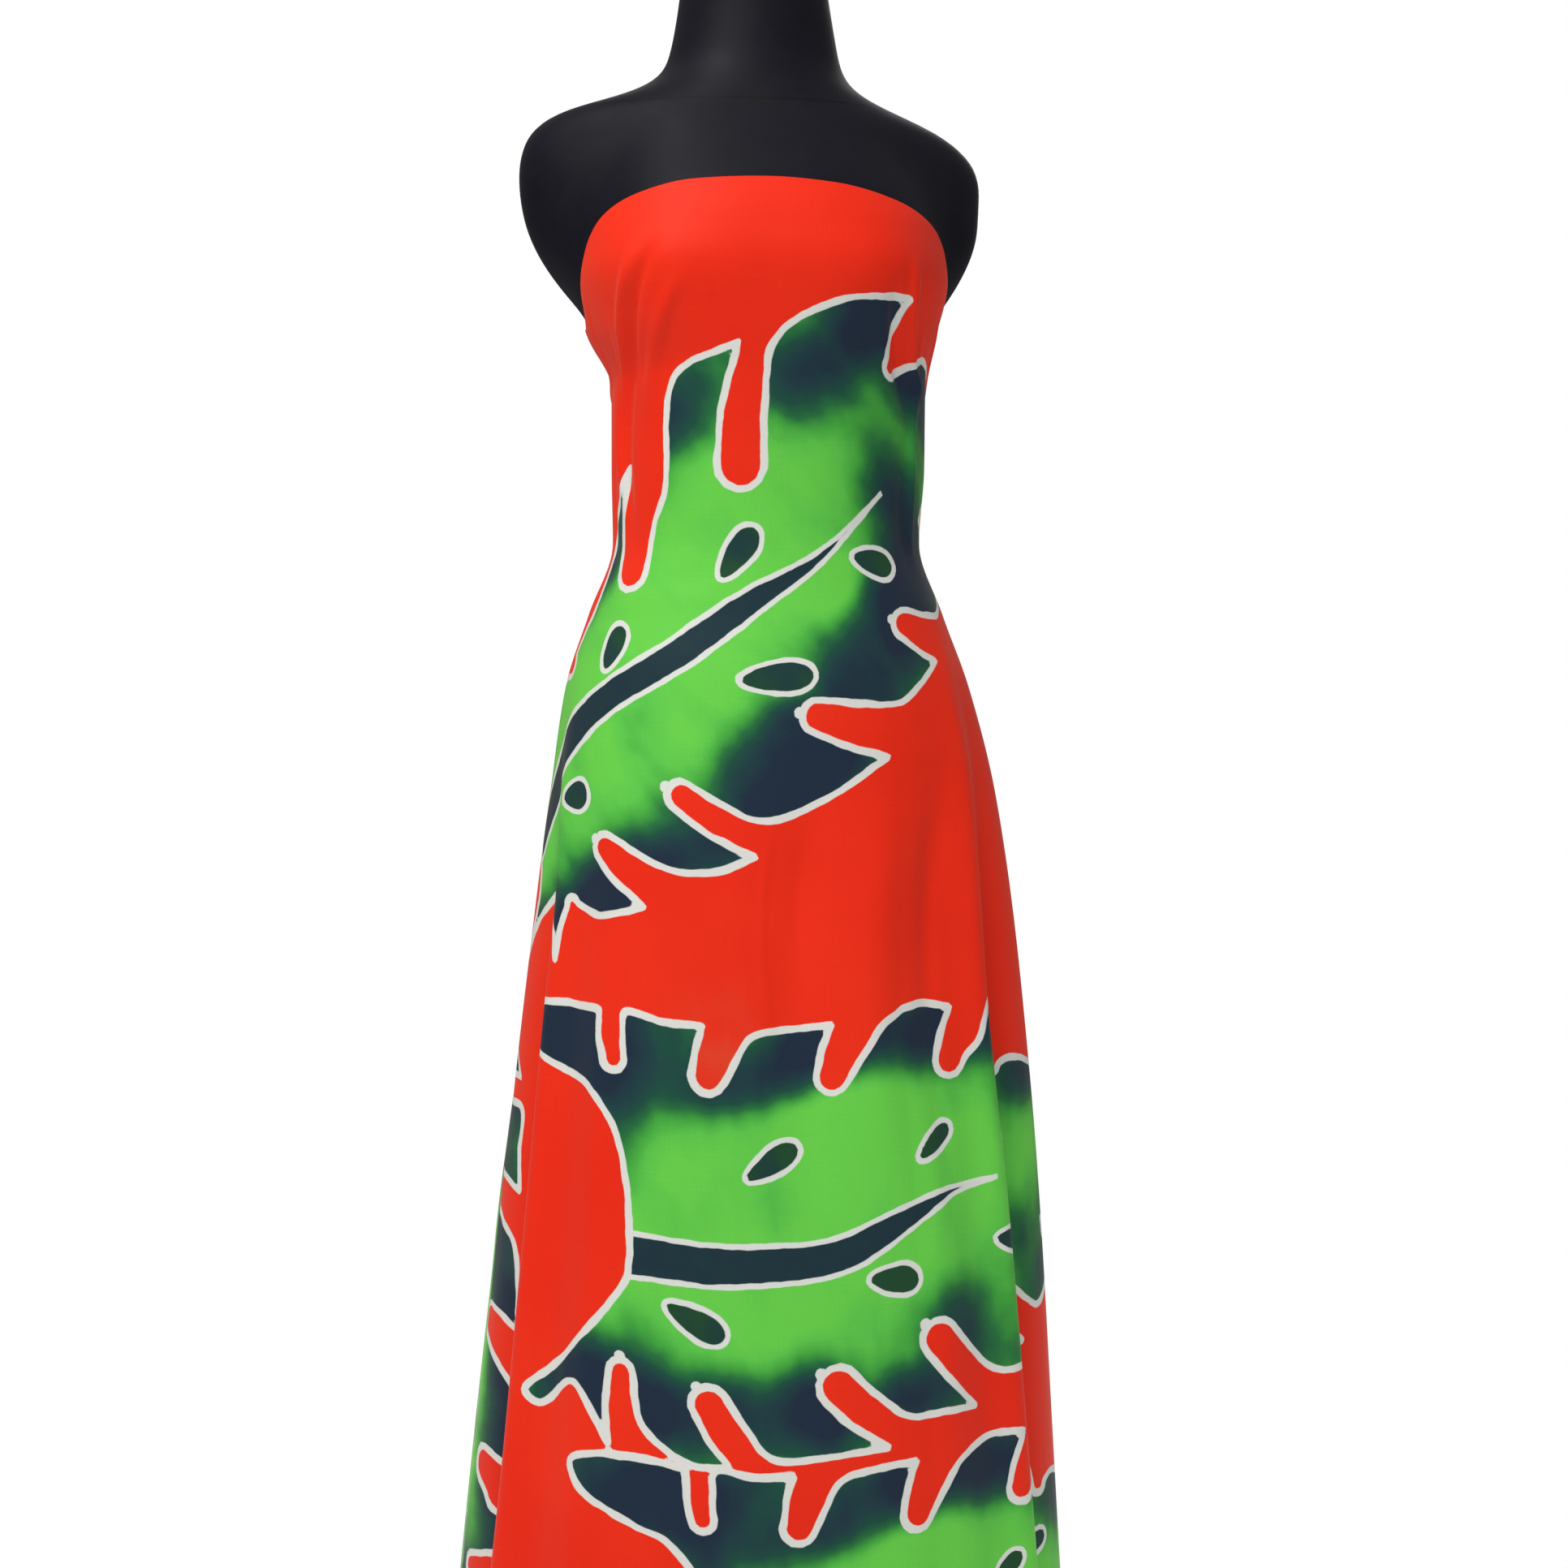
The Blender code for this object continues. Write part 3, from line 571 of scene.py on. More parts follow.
@dataclass(frozen=True)
class WrapPlan:
    """How finely the wound cloth is divided."""

    rows: int = 300
    fold_front: int = 38
    fold_side: int = 20
    middle: int = 92
    back: int = 112

    def levels(self) -> np.ndarray:
        """Nominal heights of the rows, from the top down.

        Returns:
            The heights in metres.
        """
        return np.linspace(TOP_HEIGHT, HEM_HEIGHT, self.rows)

    def columns(
        self,
        left: np.ndarray,
        right: np.ndarray,
        crest_left: np.ndarray,
        crest_right: np.ndarray,
        scale: np.ndarray,
    ) -> tuple[np.ndarray, np.ndarray, np.ndarray, tuple[int, int]]:
        """Arcs of every column at every row, with the fold each belongs to.

        Args:
            left: Arc to the centre back round the left.
            right: Arc to the centre back round the right.
            crest_left: Arc to the left crest.
            crest_right: Arc to the right crest.
            scale: Girth as a share of the hem's.

        Returns:
            Arcs, fold places, fold sides, and the two columns where stretches meet.
        """
        first, last = FOLD_SHAPE[0].plain, FOLD_SHAPE[-1].plain
        back_steps = np.linspace(0.0, 1.0, self.back + 1)[:-1]
        side_steps = np.linspace(last, SPLIT_PLACE, self.fold_side + 1)[:-1]
        front_steps = np.linspace(SPLIT_PLACE, first, self.fold_front + 1)[:-1]
        middle_steps = np.linspace(0.0, 1.0, self.middle + 1)
        left_end, right_end = -crest_left - last * scale, crest_right + last * scale
        lap_end, under_end = -left - LAP_WIDTH * scale, right + UNDER_WIDTH * scale
        start, stop = -crest_left - first * scale, crest_right + first * scale
        back_left = lap_end[:, None] + (left_end - lap_end)[:, None] * back_steps
        back_right = right_end[:, None] + (under_end - right_end)[:, None] * (1 - back_steps[::-1])
        front = start[:, None] + (stop - start)[:, None] * middle_steps
        wide = scale[:, None]
        blocks = [
            (back_left, np.zeros(self.back), 0),
            (-crest_left[:, None] - side_steps * wide, side_steps, -1),
            (-crest_left[:, None] - front_steps * wide, front_steps, -1),
            (front, np.zeros(self.middle + 1), 0),
            (crest_right[:, None] + front_steps[::-1] * wide, front_steps[::-1], 1),
            (crest_right[:, None] + side_steps[::-1] * wide, side_steps[::-1], 1),
            (back_right, np.zeros(self.back), 0),
        ]
        arcs = np.concatenate([block[0] for block in blocks], axis=1)
        places = np.concatenate([block[1] for block in blocks])
        sides = np.concatenate([np.full(len(block[1]), block[2]) for block in blocks])
        cut_left = self.back + self.fold_side
        cut_right = cut_left + 2 * self.fold_front + self.middle
        LOG.info("columns %d, cuts %d and %d", arcs.shape[1], cut_left, cut_right)
        return arcs, places, sides, (cut_left, cut_right)

    @staticmethod
    def centre_column(cuts: tuple[int, int], arcs: np.ndarray) -> np.ndarray:
        """Place of the centre front among the columns of each row.

        Args:
            cuts: Columns where stretches meet.
            arcs: Arcs of every column.

        Returns:
            A column number, with its fraction, for each row.
        """
        numbers = np.arange(cuts[0], cuts[1] + 1)
        return np.array([np.interp(0.0, row[cuts[0]:cuts[1] + 1], numbers) for row in arcs])


@dataclass
class Wrap:
    """The grid of the wound cloth with cloth coordinates in metres."""

    points: np.ndarray
    normals: np.ndarray
    u: np.ndarray
    v: np.ndarray
    cuts: tuple[int, int]

    @staticmethod
    def frames(points: np.ndarray) -> np.ndarray:
        """Outward unit normals of a grid.

        Args:
            points: Grid points, rows from the top down.

        Returns:
            The normals.
        """
        across = np.gradient(points, axis=1)
        down = np.gradient(points, axis=0)
        out = np.cross(across, -down)
        return out / np.linalg.norm(out, axis=2, keepdims=True)

    @classmethod
    def from_points(
        cls, points: np.ndarray, edge: np.ndarray, cuts: tuple[int, int], centre: np.ndarray
    ) -> "Wrap":
        """Measure cloth coordinates on a grid and add the listed creases.

        Args:
            points: Grid points, rows from the top down.
            edge: Height of the top edge at each column.
            cuts: Columns where stretches meet.
            centre: Place of the centre front in each row.

        Returns:
            The finished wrap.
        """
        walked = np.cumsum(np.linalg.norm(np.diff(points, axis=1), axis=2), axis=1)
        u = np.concatenate([np.zeros((len(points), 1)), walked], axis=1)
        numbers = np.arange(points.shape[1])
        u -= np.array([np.interp(at, numbers, row) for at, row in zip(centre, u)])[:, None]
        walked = np.cumsum(np.linalg.norm(np.diff(points, axis=0), axis=2), axis=0)
        v = np.concatenate([np.zeros((1, points.shape[1])), walked], axis=0) + (TOP_HEIGHT - edge)[None, :]
        normals = cls.frames(points)
        lift = np.zeros_like(u)
        for crease in CREASES:
            line = np.array([crease.u1 - crease.u0, crease.v1 - crease.v0])
            length = float(np.hypot(*line))
            run = ((u - crease.u0) * line[0] + (v - crease.v0) * line[1]) / length**2
            off = ((u - crease.u0) * -line[1] + (v - crease.v0) * line[0]) / length
            bow = off - CREASE_BOW * length * np.sin(np.clip(run, 0, 1) * math.pi)
            fade = ramp(run / CREASE_IN + CREASE_START) * ramp((1 - run) / CREASE_OUT + CREASE_START)
            lift += crease.rise * hump(bow / crease.width) * fade
        points = points + normals * lift[..., None]
        return cls(points, cls.frames(points), u, v, cuts)


# the leaf print


@dataclass(frozen=True)
class Lobe:
    """A leaf lobe and the slot past it, in metres along the rib and out from it."""

    tip_at: float
    tip_out: float
    slot_at: float
    slot_in: float
    slot_half: float
    shoulder_at: float
    shoulder_out: float
    bulge: float = 0.004


@dataclass(frozen=True)
class Hole:
    """An almond hole beside the rib."""

    at: float
    out: float
    long: float
    wide: float
    turn: float


@dataclass(frozen=True)
class Pool:
    """A soft pool of dark dye in a leaf, or of clear green where its strength is negative."""

    at: float
    out: float
    long: float
    wide: float
    strength: float


@dataclass(frozen=True)
class LeafShape:
    """A leaf's own chart: its heart notch, its lobes on the two sides, its holes and its rib."""

    length: float
    rib_half: float
    rib_line: tuple[Point, ...]
    upper_notch: tuple[Point, ...]
    lower_notch: tuple[Point, ...]
    upper: tuple[Lobe, ...]
    lower: tuple[Lobe, ...]
    holes: tuple[Hole, ...]
    pools: tuple[Pool, ...]


@dataclass(frozen=True)
class LeafPlace:
    """Where a leaf lies on the cloth: its base, the turn of its rib from level, and its size."""

    shape: LeafShape
    u: float
    v: float
    turn: float
    size: float = 1.0
    flip: bool = False


SLANTED_LEAF = LeafShape(
    length=0.560,
    rib_half=0.0150,
    rib_line=(
        (-0.060, 0.022), (0.000, 0.033), (0.080, 0.036), (0.180, 0.018), (0.270, 0.010), (0.330, 0.000),
        (0.410, 0.000),
    ),
    upper_notch=((-0.060, 0.000), (-0.055, 0.030), (-0.042, 0.070), (-0.030, 0.100)),
    lower_notch=((-0.060, 0.000), (-0.075, -0.016), (-0.110, -0.026)),
    upper=(
        Lobe(0.020, 0.130, 0.092, 0.085, 0.011, 0.150, 0.110, 0.010),
        Lobe(0.250, 0.170, 0.190, 0.088, 0.017, 0.272, 0.124, 0.036),
        Lobe(0.395, 0.170, 0.318, 0.084, 0.019, 0.419, 0.153, 0.015),
        Lobe(0.529, 0.102, 0.474, 0.068, 0.008, 0.527, 0.046, 0.004),
    ),
    lower=(
        Lobe(-0.150, 0.034, -0.030, 0.044, 0.010, -0.050, 0.078, 0.000),
        Lobe(-0.060, 0.093, -0.014, 0.066, 0.006, 0.002, 0.098, 0.002),
        Lobe(0.036, 0.116, 0.038, 0.050, 0.011, 0.074, 0.108, 0.006),
        Lobe(0.132, 0.140, 0.115, 0.058, 0.012, 0.156, 0.124, 0.006),
        Lobe(0.262, 0.158, 0.235, 0.082, 0.013, 0.300, 0.134, 0.002),
        Lobe(0.356, 0.136, 0.345, 0.082, 0.013, 0.395, 0.116, 0.006),
        Lobe(0.470, 0.100, 0.450, 0.056, 0.012, 0.490, 0.060, 0.006),
    ),
    holes=(
        Hole(0.285, 0.046, 0.026, 0.012, 14), Hole(0.150, 0.058, 0.022, 0.011, 22),
        Hole(0.240, -0.048, 0.031, 0.013, -38), Hole(0.365, -0.036, 0.022, 0.012, -56),
        Hole(0.041, -0.006, 0.017, 0.013, -30),
    ),
    pools=(
        Pool(0.165, 0.128, 0.060, 0.030, 0.55), Pool(0.422, -0.010, 0.040, 0.060, 0.90),
        Pool(0.385, -0.066, 0.055, 0.036, 0.80), Pool(0.315, -0.092, 0.070, 0.042, 0.85),
        Pool(0.200, -0.082, 0.075, 0.032, 0.72), Pool(0.322, -0.024, 0.024, 0.018, -0.50),
        Pool(0.190, -0.128, 0.070, 0.034, 0.72), Pool(0.045, -0.090, 0.066, 0.036, 0.85),
        Pool(-0.020, -0.078, 0.050, 0.026, 0.70), Pool(-0.100, -0.040, 0.080, 0.034, 0.85),
        Pool(0.300, 0.172, 0.050, 0.036, 0.55), Pool(0.461, 0.101, 0.050, 0.032, 0.62),
        Pool(0.405, 0.115, 0.030, 0.036, 0.50), Pool(-0.020, 0.090, 0.050, 0.040, 0.50),
        Pool(0.500, 0.050, 0.040, 0.024, 0.45), Pool(0.250, -0.060, 0.022, 0.020, -0.30),
    ),
)

LEVEL_LEAF = LeafShape(
    length=0.500,
    rib_half=0.0170,
    rib_line=((0.00, 0.000), (0.10, -0.015), (0.17, -0.018), (0.22, -0.004), (0.26, 0.008), (0.31, 0.009)),
    upper_notch=(
        (0.000, 0.000), (0.005, 0.045), (0.004, 0.084), (-0.004, 0.110), (-0.022, 0.134), (-0.050, 0.148),
        (-0.085, 0.172), (-0.092, 0.196), (-0.040, 0.197),
    ),
    lower_notch=(
        (0.000, 0.000), (-0.006, -0.018), (-0.032, -0.045), (-0.074, -0.075), (-0.115, -0.100),
        (-0.104, -0.110), (-0.064, -0.094),
    ),
    upper=(
        Lobe(0.002, 0.188, 0.008, 0.140, 0.009, 0.024, 0.184, -0.002),
        Lobe(0.083, 0.172, 0.075, 0.122, 0.013, 0.120, 0.160, 0.002),
        Lobe(0.182, 0.158, 0.170, 0.108, 0.013, 0.224, 0.150, 0.008),
        Lobe(0.288, 0.152, 0.272, 0.100, 0.013, 0.308, 0.118, 0.012),
        Lobe(0.343, 0.150, 0.352, 0.080, 0.009, 0.376, 0.090, 0.016),
    ),
    lower=(
        Lobe(-0.040, 0.141, -0.020, 0.078, 0.010, -0.010, 0.128, 0.012),
        Lobe(0.053, 0.162, 0.038, 0.102, 0.014, 0.086, 0.160, 0.002),
        Lobe(0.178, 0.173, 0.135, 0.106, 0.015, 0.200, 0.155, 0.000),
        Lobe(0.262, 0.162, 0.224, 0.090, 0.015, 0.290, 0.142, 0.004),
        Lobe(0.368, 0.140, 0.330, 0.078, 0.013, 0.392, 0.118, 0.004),
        Lobe(0.440, 0.094, 0.418, 0.056, 0.010, 0.452, 0.060, 0.004),
    ),
    holes=(
        Hole(0.121, 0.062, 0.025, 0.011, 24), Hole(0.254, 0.050, 0.021, 0.009, 32),
        Hole(0.044, -0.052, 0.027, 0.012, -34), Hole(0.203, -0.048, 0.022, 0.012, -12),
        Hole(0.340, 0.042, 0.018, 0.009, 20), Hole(0.318, -0.044, 0.019, 0.010, -16),
    ),
    pools=(
        Pool(-0.030, 0.160, 0.075, 0.050, 0.90), Pool(0.085, 0.118, 0.075, 0.026, 0.62),
        Pool(0.300, 0.128, 0.065, 0.040, 0.62), Pool(0.190, 0.146, 0.060, 0.026, 0.66),
        Pool(-0.060, -0.085, 0.070, 0.036, 0.95), Pool(0.030, -0.116, 0.070, 0.032, 0.80),
        Pool(0.130, -0.122, 0.034, 0.038, 0.75), Pool(0.260, -0.092, 0.050, 0.036, 0.80),
        Pool(0.200, -0.140, 0.045, 0.026, 0.50), Pool(0.390, -0.060, 0.050, 0.045, 0.60),
        Pool(0.180, 0.090, 0.060, 0.018, -0.30), Pool(0.400, 0.075, 0.060, 0.038, 0.90),
        Pool(0.006, 0.080, 0.018, 0.050, 0.35),
    ),
)

LEAVES = [
    LeafPlace(SLANTED_LEAF, -0.205, 0.525, 42.0),
    LeafPlace(LEVEL_LEAF, -0.113, 0.856, 8.2),
    LeafPlace(LEVEL_LEAF, -0.046, 1.198, 8.2),
    LeafPlace(LEVEL_LEAF, -0.544, 0.752, -84.0, 1.10),
    LeafPlace(SLANTED_LEAF, -1.080, 1.080, 38.0, 0.84),
    LeafPlace(SLANTED_LEAF, -0.675, 0.550, 38.0, 0.88),
    LeafPlace(SLANTED_LEAF, 0.385, 0.545, 46.0, 0.80, True),
    LeafPlace(LEVEL_LEAF, 0.500, 0.900, 8.0, 0.80, True),
    LeafPlace(LEVEL_LEAF, 0.500, 1.190, 8.0, 0.80, True),
]


def curve_through(points: np.ndarray, steps: int = 9) -> np.ndarray:
    """Run a smooth open curve through points.

    Args:
        points: The points, in order.
        steps: Samples for each stretch.

    Returns:
        The sampled curve without its last point.
    """
    padded = np.vstack([2 * points[0] - points[1], points, 2 * points[-1] - points[-2]])
    gaps = np.maximum(np.linalg.norm(np.diff(padded, axis=0), axis=1), 1e-6) ** 0.5
    times = np.concatenate([[0.0], np.cumsum(gaps)])
    pieces = []
    for number in range(1, len(padded) - 2):
        p0, p1, p2, p3 = padded[number - 1:number + 3]
        t0, t1, t2, t3 = times[number - 1:number + 3]
        t = np.linspace(t1, t2, steps, endpoint=False)[:, None]
        a1 = (t1 - t) / (t1 - t0) * p0 + (t - t0) / (t1 - t0) * p1
        a2 = (t2 - t) / (t2 - t1) * p1 + (t - t1) / (t2 - t1) * p2
        a3 = (t3 - t) / (t3 - t2) * p2 + (t - t2) / (t3 - t2) * p3
        b1 = (t2 - t) / (t2 - t0) * a1 + (t - t0) / (t2 - t0) * a2
        b2 = (t3 - t) / (t3 - t1) * a2 + (t - t1) / (t3 - t1) * a3
        pieces.append((t2 - t) / (t2 - t1) * b1 + (t - t1) / (t2 - t1) * b2)
    return np.vstack(pieces)


DROP_OUT = 0.0015
DROP_LEAST = 0.0085
"""How far past a slot's end the wax drop lies, and the least half width of a slot with one, in metres."""

HOLLOW_AT = 0.55
HOLLOW_DEPTH = 0.04
"""Where a slot's side bows, and how much, as shares of its length."""

NEAR_MARGIN = 0.05
CHUNK = 6000
SHORTEST = 1e-7
LEVEL = 1e-12
"""Reach round a leaf, points worked at a time, and the smallest lengths told apart."""


@dataclass
class Leaf:
    """One leaf laid on the cloth."""

    place: LeafPlace
    outline: np.ndarray = field(init=False)
    drops: list[np.ndarray] = field(init=False, default_factory=list)

    def __post_init__(self) -> None:
        """Draw the outline from the lobe tables."""
        shape = self.place.shape
        upper = self.margin(shape.upper_notch, shape.upper, 1.0)
        lower = self.margin(shape.lower_notch, shape.lower, -1.0)
        self.outline = self.to_cloth(np.vstack([upper, lower[::-1]]))

    def margin(self, notch: tuple[Point, ...], lobes: tuple[Lobe, ...], side: float) -> np.ndarray:
        """Draw one side from the heart notch to the leaf's tip.

        Args:
            notch: Points of the heart notch.
            lobes: Rows of that side.
            side: 1 above the rib and -1 below it.

        Returns:
            Outline points along and out from the rib.
        """
        start = np.array([(at, abs(out)) for at, out in notch])
        tip = np.array([lobes[0].tip_at, lobes[0].tip_out])
        strokes = [curve_through(np.vstack([start, tip]))]
        end = np.array([self.place.shape.length, 0.0])
        for number, lobe in enumerate(lobes):
            tip = np.array([lobe.tip_at, lobe.tip_out])
            last = number + 1 == len(lobes)
            goal = end if last else np.array([lobes[number + 1].tip_at, lobes[number + 1].tip_out])
            slot = np.array([lobe.slot_at, lobe.slot_in])
            shoulder = np.array([lobe.shoulder_at, lobe.shoulder_out])
            middle_mouth = 0.5 * (tip + shoulder)
            way = (middle_mouth - slot) / np.linalg.norm(middle_mouth - slot)
            across = np.array([way[1], -way[0]])
            half = lobe.slot_half
            centre = slot + way * half
            if side < 0 and lobe.slot_half > DROP_LEAST:
                self.drops.append(self.to_cloth((slot - way * DROP_OUT)[None, :] * np.array([1.0, side]))[0])
            turns = np.linspace(0.0, math.pi, 7)[:, None]
            round_end = centre - half * (across * np.cos(turns) + way * np.sin(turns))
            low, high = round_end[0], round_end[-1]
            reach = np.linalg.norm(tip - low)
            hollow = tip + HOLLOW_AT * (low - tip) - across * HOLLOW_DEPTH * reach
            strokes.append(curve_through(np.array([tip, hollow, low])))
            strokes.append(round_end)
            swell = high + 0.5 * (shoulder - high) - across * HOLLOW_DEPTH * reach
            crown = 0.5 * (shoulder + goal) + np.array([0.0, lobe.bulge])
            strokes.append(curve_through(np.array([high, swell, shoulder, crown, goal])))
        strokes.append(end[None, :])
        return np.vstack(strokes) * np.array([1.0, side])

    def axes(self) -> tuple[np.ndarray, np.ndarray, np.ndarray]:
        """Directions of the leaf on the cloth.

        Returns:
            Its base, the way of the rib, and the way of its upper side.
        """
        turn = math.radians(self.place.turn)
        way = np.array([math.cos(turn), -math.sin(turn)])
        up = np.array([-math.sin(turn), -math.cos(turn)])
        if self.place.flip:
            way = way * np.array([-1.0, 1.0])
            up = up * np.array([-1.0, 1.0])
            base = np.array([self.place.u, self.place.v]) - way * self.place.shape.length * self.place.size
            return base, way, up
        return np.array([self.place.u, self.place.v]), way, up

    def sag(self, along: np.ndarray) -> np.ndarray:
        """How far the rib bows off its straight line.

        Args:
            along: Metres from the base.

        Returns:
            The bow in metres.
        """
        line = self.place.shape.rib_line
        return smooth_rows([row[0] for row in line], [row[1] for row in line], along, keep_turns=False)

    def to_cloth(self, local: np.ndarray) -> np.ndarray:
        """Lay points given along and out from the rib on the cloth.

        Args:
            local: Points along and out from the rib.

        Returns:
            Points in cloth metres.
        """
        base, way, up = self.axes()
        return base + (local[:, 0:1] * way + local[:, 1:2] * up) * self.place.size

    def to_local(self, u: np.ndarray, v: np.ndarray) -> tuple[np.ndarray, np.ndarray]:
        """Read cloth points along and out from the rib.

        Args:
            u: Metres from the centre front.
            v: Metres down from the top.

        Returns:
            Metres along the rib and out from it.
        """
        base, way, up = self.axes()
        du, dv = (u - base[0]) / self.place.size, (v - base[1]) / self.place.size
        along = du * way[0] + dv * way[1]
        return along, du * up[0] + dv * up[1]

    def measure(self, u: np.ndarray, v: np.ndarray) -> tuple[np.ndarray, np.ndarray]:
        """Signed distance to the outline.

        Args:
            u: Metres from the centre front.
            v: Metres down from the top.

        Returns:
            Which points lie near the leaf, and their distances in metres, negative inside.
        """
        low, high = self.outline.min(axis=0) - NEAR_MARGIN, self.outline.max(axis=0) + NEAR_MARGIN
        near = (u > low[0]) & (u < high[0]) & (v > low[1]) & (v < high[1])
        place = np.stack([u[near], v[near]], axis=-1)
        start, stop = self.outline, np.roll(self.outline, -1, axis=0)
        keep = np.linalg.norm(stop - start, axis=1) > SHORTEST
        start, stop = start[keep], stop[keep]
        line = stop - start
        square = np.sum(line**2, axis=1)
        found = np.empty(len(place))
        for first in range(0, len(place), CHUNK):
            part = place[first:first + CHUNK, None, :]
            gap = part - start[None]
            run = np.clip(np.sum(gap * line[None], axis=2) / square, 0, 1)
            away = np.min(np.sum((gap - run[..., None] * line[None]) ** 2, axis=2), axis=1)
            above = (start[None, :, 1] > part[..., 1]) != (stop[None, :, 1] > part[..., 1])
            height = np.where(np.abs(line[:, 1]) < LEVEL, LEVEL, line[:, 1])
            crossing = start[:, 0] + (part[..., 1] - start[:, 1]) / height * line[:, 0]
            inside = np.sum(above & (part[..., 0] < crossing), axis=1) % 2 == 1
            found[first:first + CHUNK] = np.sqrt(away) * np.where(inside, -1.0, 1.0)
        return near, found


STAIN_AT = (-0.036, 0.688)
STAIN_SIZE = 0.032
STAIN_STRENGTH = 0.5
"""The one brown bleed beside a leaf, in metres."""

RIB_TAPER = 0.35
RIB_POINT = 0.42
HOLE_SKEW = 0.28
"""How a rib narrows and runs out, and how a hole swells to one end, as shares."""

RIM_DARK = 0.42
RIM_FROM = 0.56
RIM_RUN = 0.36
TIP_DARK = 0.9
TIP_FROM = 0.80
TIP_RUN = 0.14
"""How the dye darkens to a leaf's rim and tip, as shares of its width and length."""


@dataclass
class BatikPrint:
    """The wax lines and dye washes of the whole cloth."""

    leaves: list[Leaf] = field(default_factory=lambda: [Leaf(place) for place in LEAVES])
    far: float = 0.08

    def paint(self, u: np.ndarray, v: np.ndarray) -> dict[str, np.ndarray]:
        """Work out the print's fields at cloth points.

        Args:
            u: Metres from the centre front.
            v: Metres down from the top.

        Returns:
            Signed distances to leaves, ribs and holes, and how dark the dye is.
        """
        fields = {name: np.full(u.shape, self.far) for name in ("leaf", "rib", "hole", "drop")}
        fields.update({name: np.zeros(u.shape) for name in ("dye", "along")})
        fields["rib_half"] = np.full(u.shape, -self.far)
        for number, leaf in enumerate(self.leaves):
            near, away = leaf.measure(u, v)
            closer = away < fields["leaf"][near]
            drop = np.min([np.hypot(u[near] - at[0], v[near] - at[1]) for at in leaf.drops], axis=0)
            along, out = leaf.to_local(u[near], v[near])
            shape, size = leaf.place.shape, leaf.place.size
            part = along / shape.rib_line[-1][0]
            half = shape.rib_half * (1.0 - RIB_TAPER * np.clip(part, 0, 1)) * ramp((1.0 - part) / RIB_POINT)
            half = np.where(part > 1.0, -self.far, half)
            found = {
                "leaf": away,
                "along": along + number,
                "rib": (out - leaf.sag(along)) * size,
                "rib_half": half * size,
                "hole": self.holes(shape, along, out) * size,
                "dye": self.dye(shape, along, out),
                "drop": drop,
            }
            for name, values in found.items():
                fields[name][near] = np.where(closer, values, fields[name][near])
        fields["stain"] = STAIN_STRENGTH * hump(np.hypot(u - STAIN_AT[0], v - STAIN_AT[1]) / STAIN_SIZE)
        return fields

    def holes(self, shape: LeafShape, along: np.ndarray, out: np.ndarray) -> np.ndarray:
        """Work out distances to a leaf's holes.

        Args:
            shape: The leaf's chart.
            along: Metres along the rib.
            out: Metres out from it.

        Returns:
            Distances in metres, negative inside a hole.
        """
        nearest = np.full(along.shape, self.far)
        for hole in shape.holes:
            turn = math.radians(hole.turn)
            x = (along - hole.at) * math.cos(turn) + (out - hole.out) * math.sin(turn)
            y = -(along - hole.at) * math.sin(turn) + (out - hole.out) * math.cos(turn)
            wide = hole.wide * (1 + HOLE_SKEW * np.clip(x / hole.long, -1, 1))
            reach = np.sqrt((x / hole.long) ** 2 + (y / wide) ** 2)
            grade = np.sqrt((x / hole.long**2) ** 2 + (y / wide**2) ** 2) + 1e-9
            nearest = np.minimum(nearest, reach * (reach - 1) / grade)
        return nearest

    @staticmethod
    def dye(shape: LeafShape, along: np.ndarray, out: np.ndarray) -> np.ndarray:
        """Work out how dark the dye lies in a leaf, before its blots.

        Args:
            shape: The leaf's chart.
            along: Metres along the rib.
            out: Metres out from it.

        Returns:
            From 0 for clear green to 1 for navy.
        """
        reach_up, reach_low = (
            np.interp(along, [row.tip_at for row in lobes], [row.tip_out for row in lobes])
            for lobes in (shape.upper, shape.lower)
        )
        share = np.abs(out) / np.where(out > 0, reach_up, reach_low)
        dark = RIM_DARK * ramp((share - RIM_FROM) / RIM_RUN)
        dark = dark + TIP_DARK * ramp((along / shape.length - TIP_FROM) / TIP_RUN)
        for pool in shape.pools:
            away = np.hypot((along - pool.at) / pool.long, (out - pool.out) / pool.wide)
            dark += pool.strength * hump(away)
        return np.clip(dark, -0.2, 1.1)


# shaders


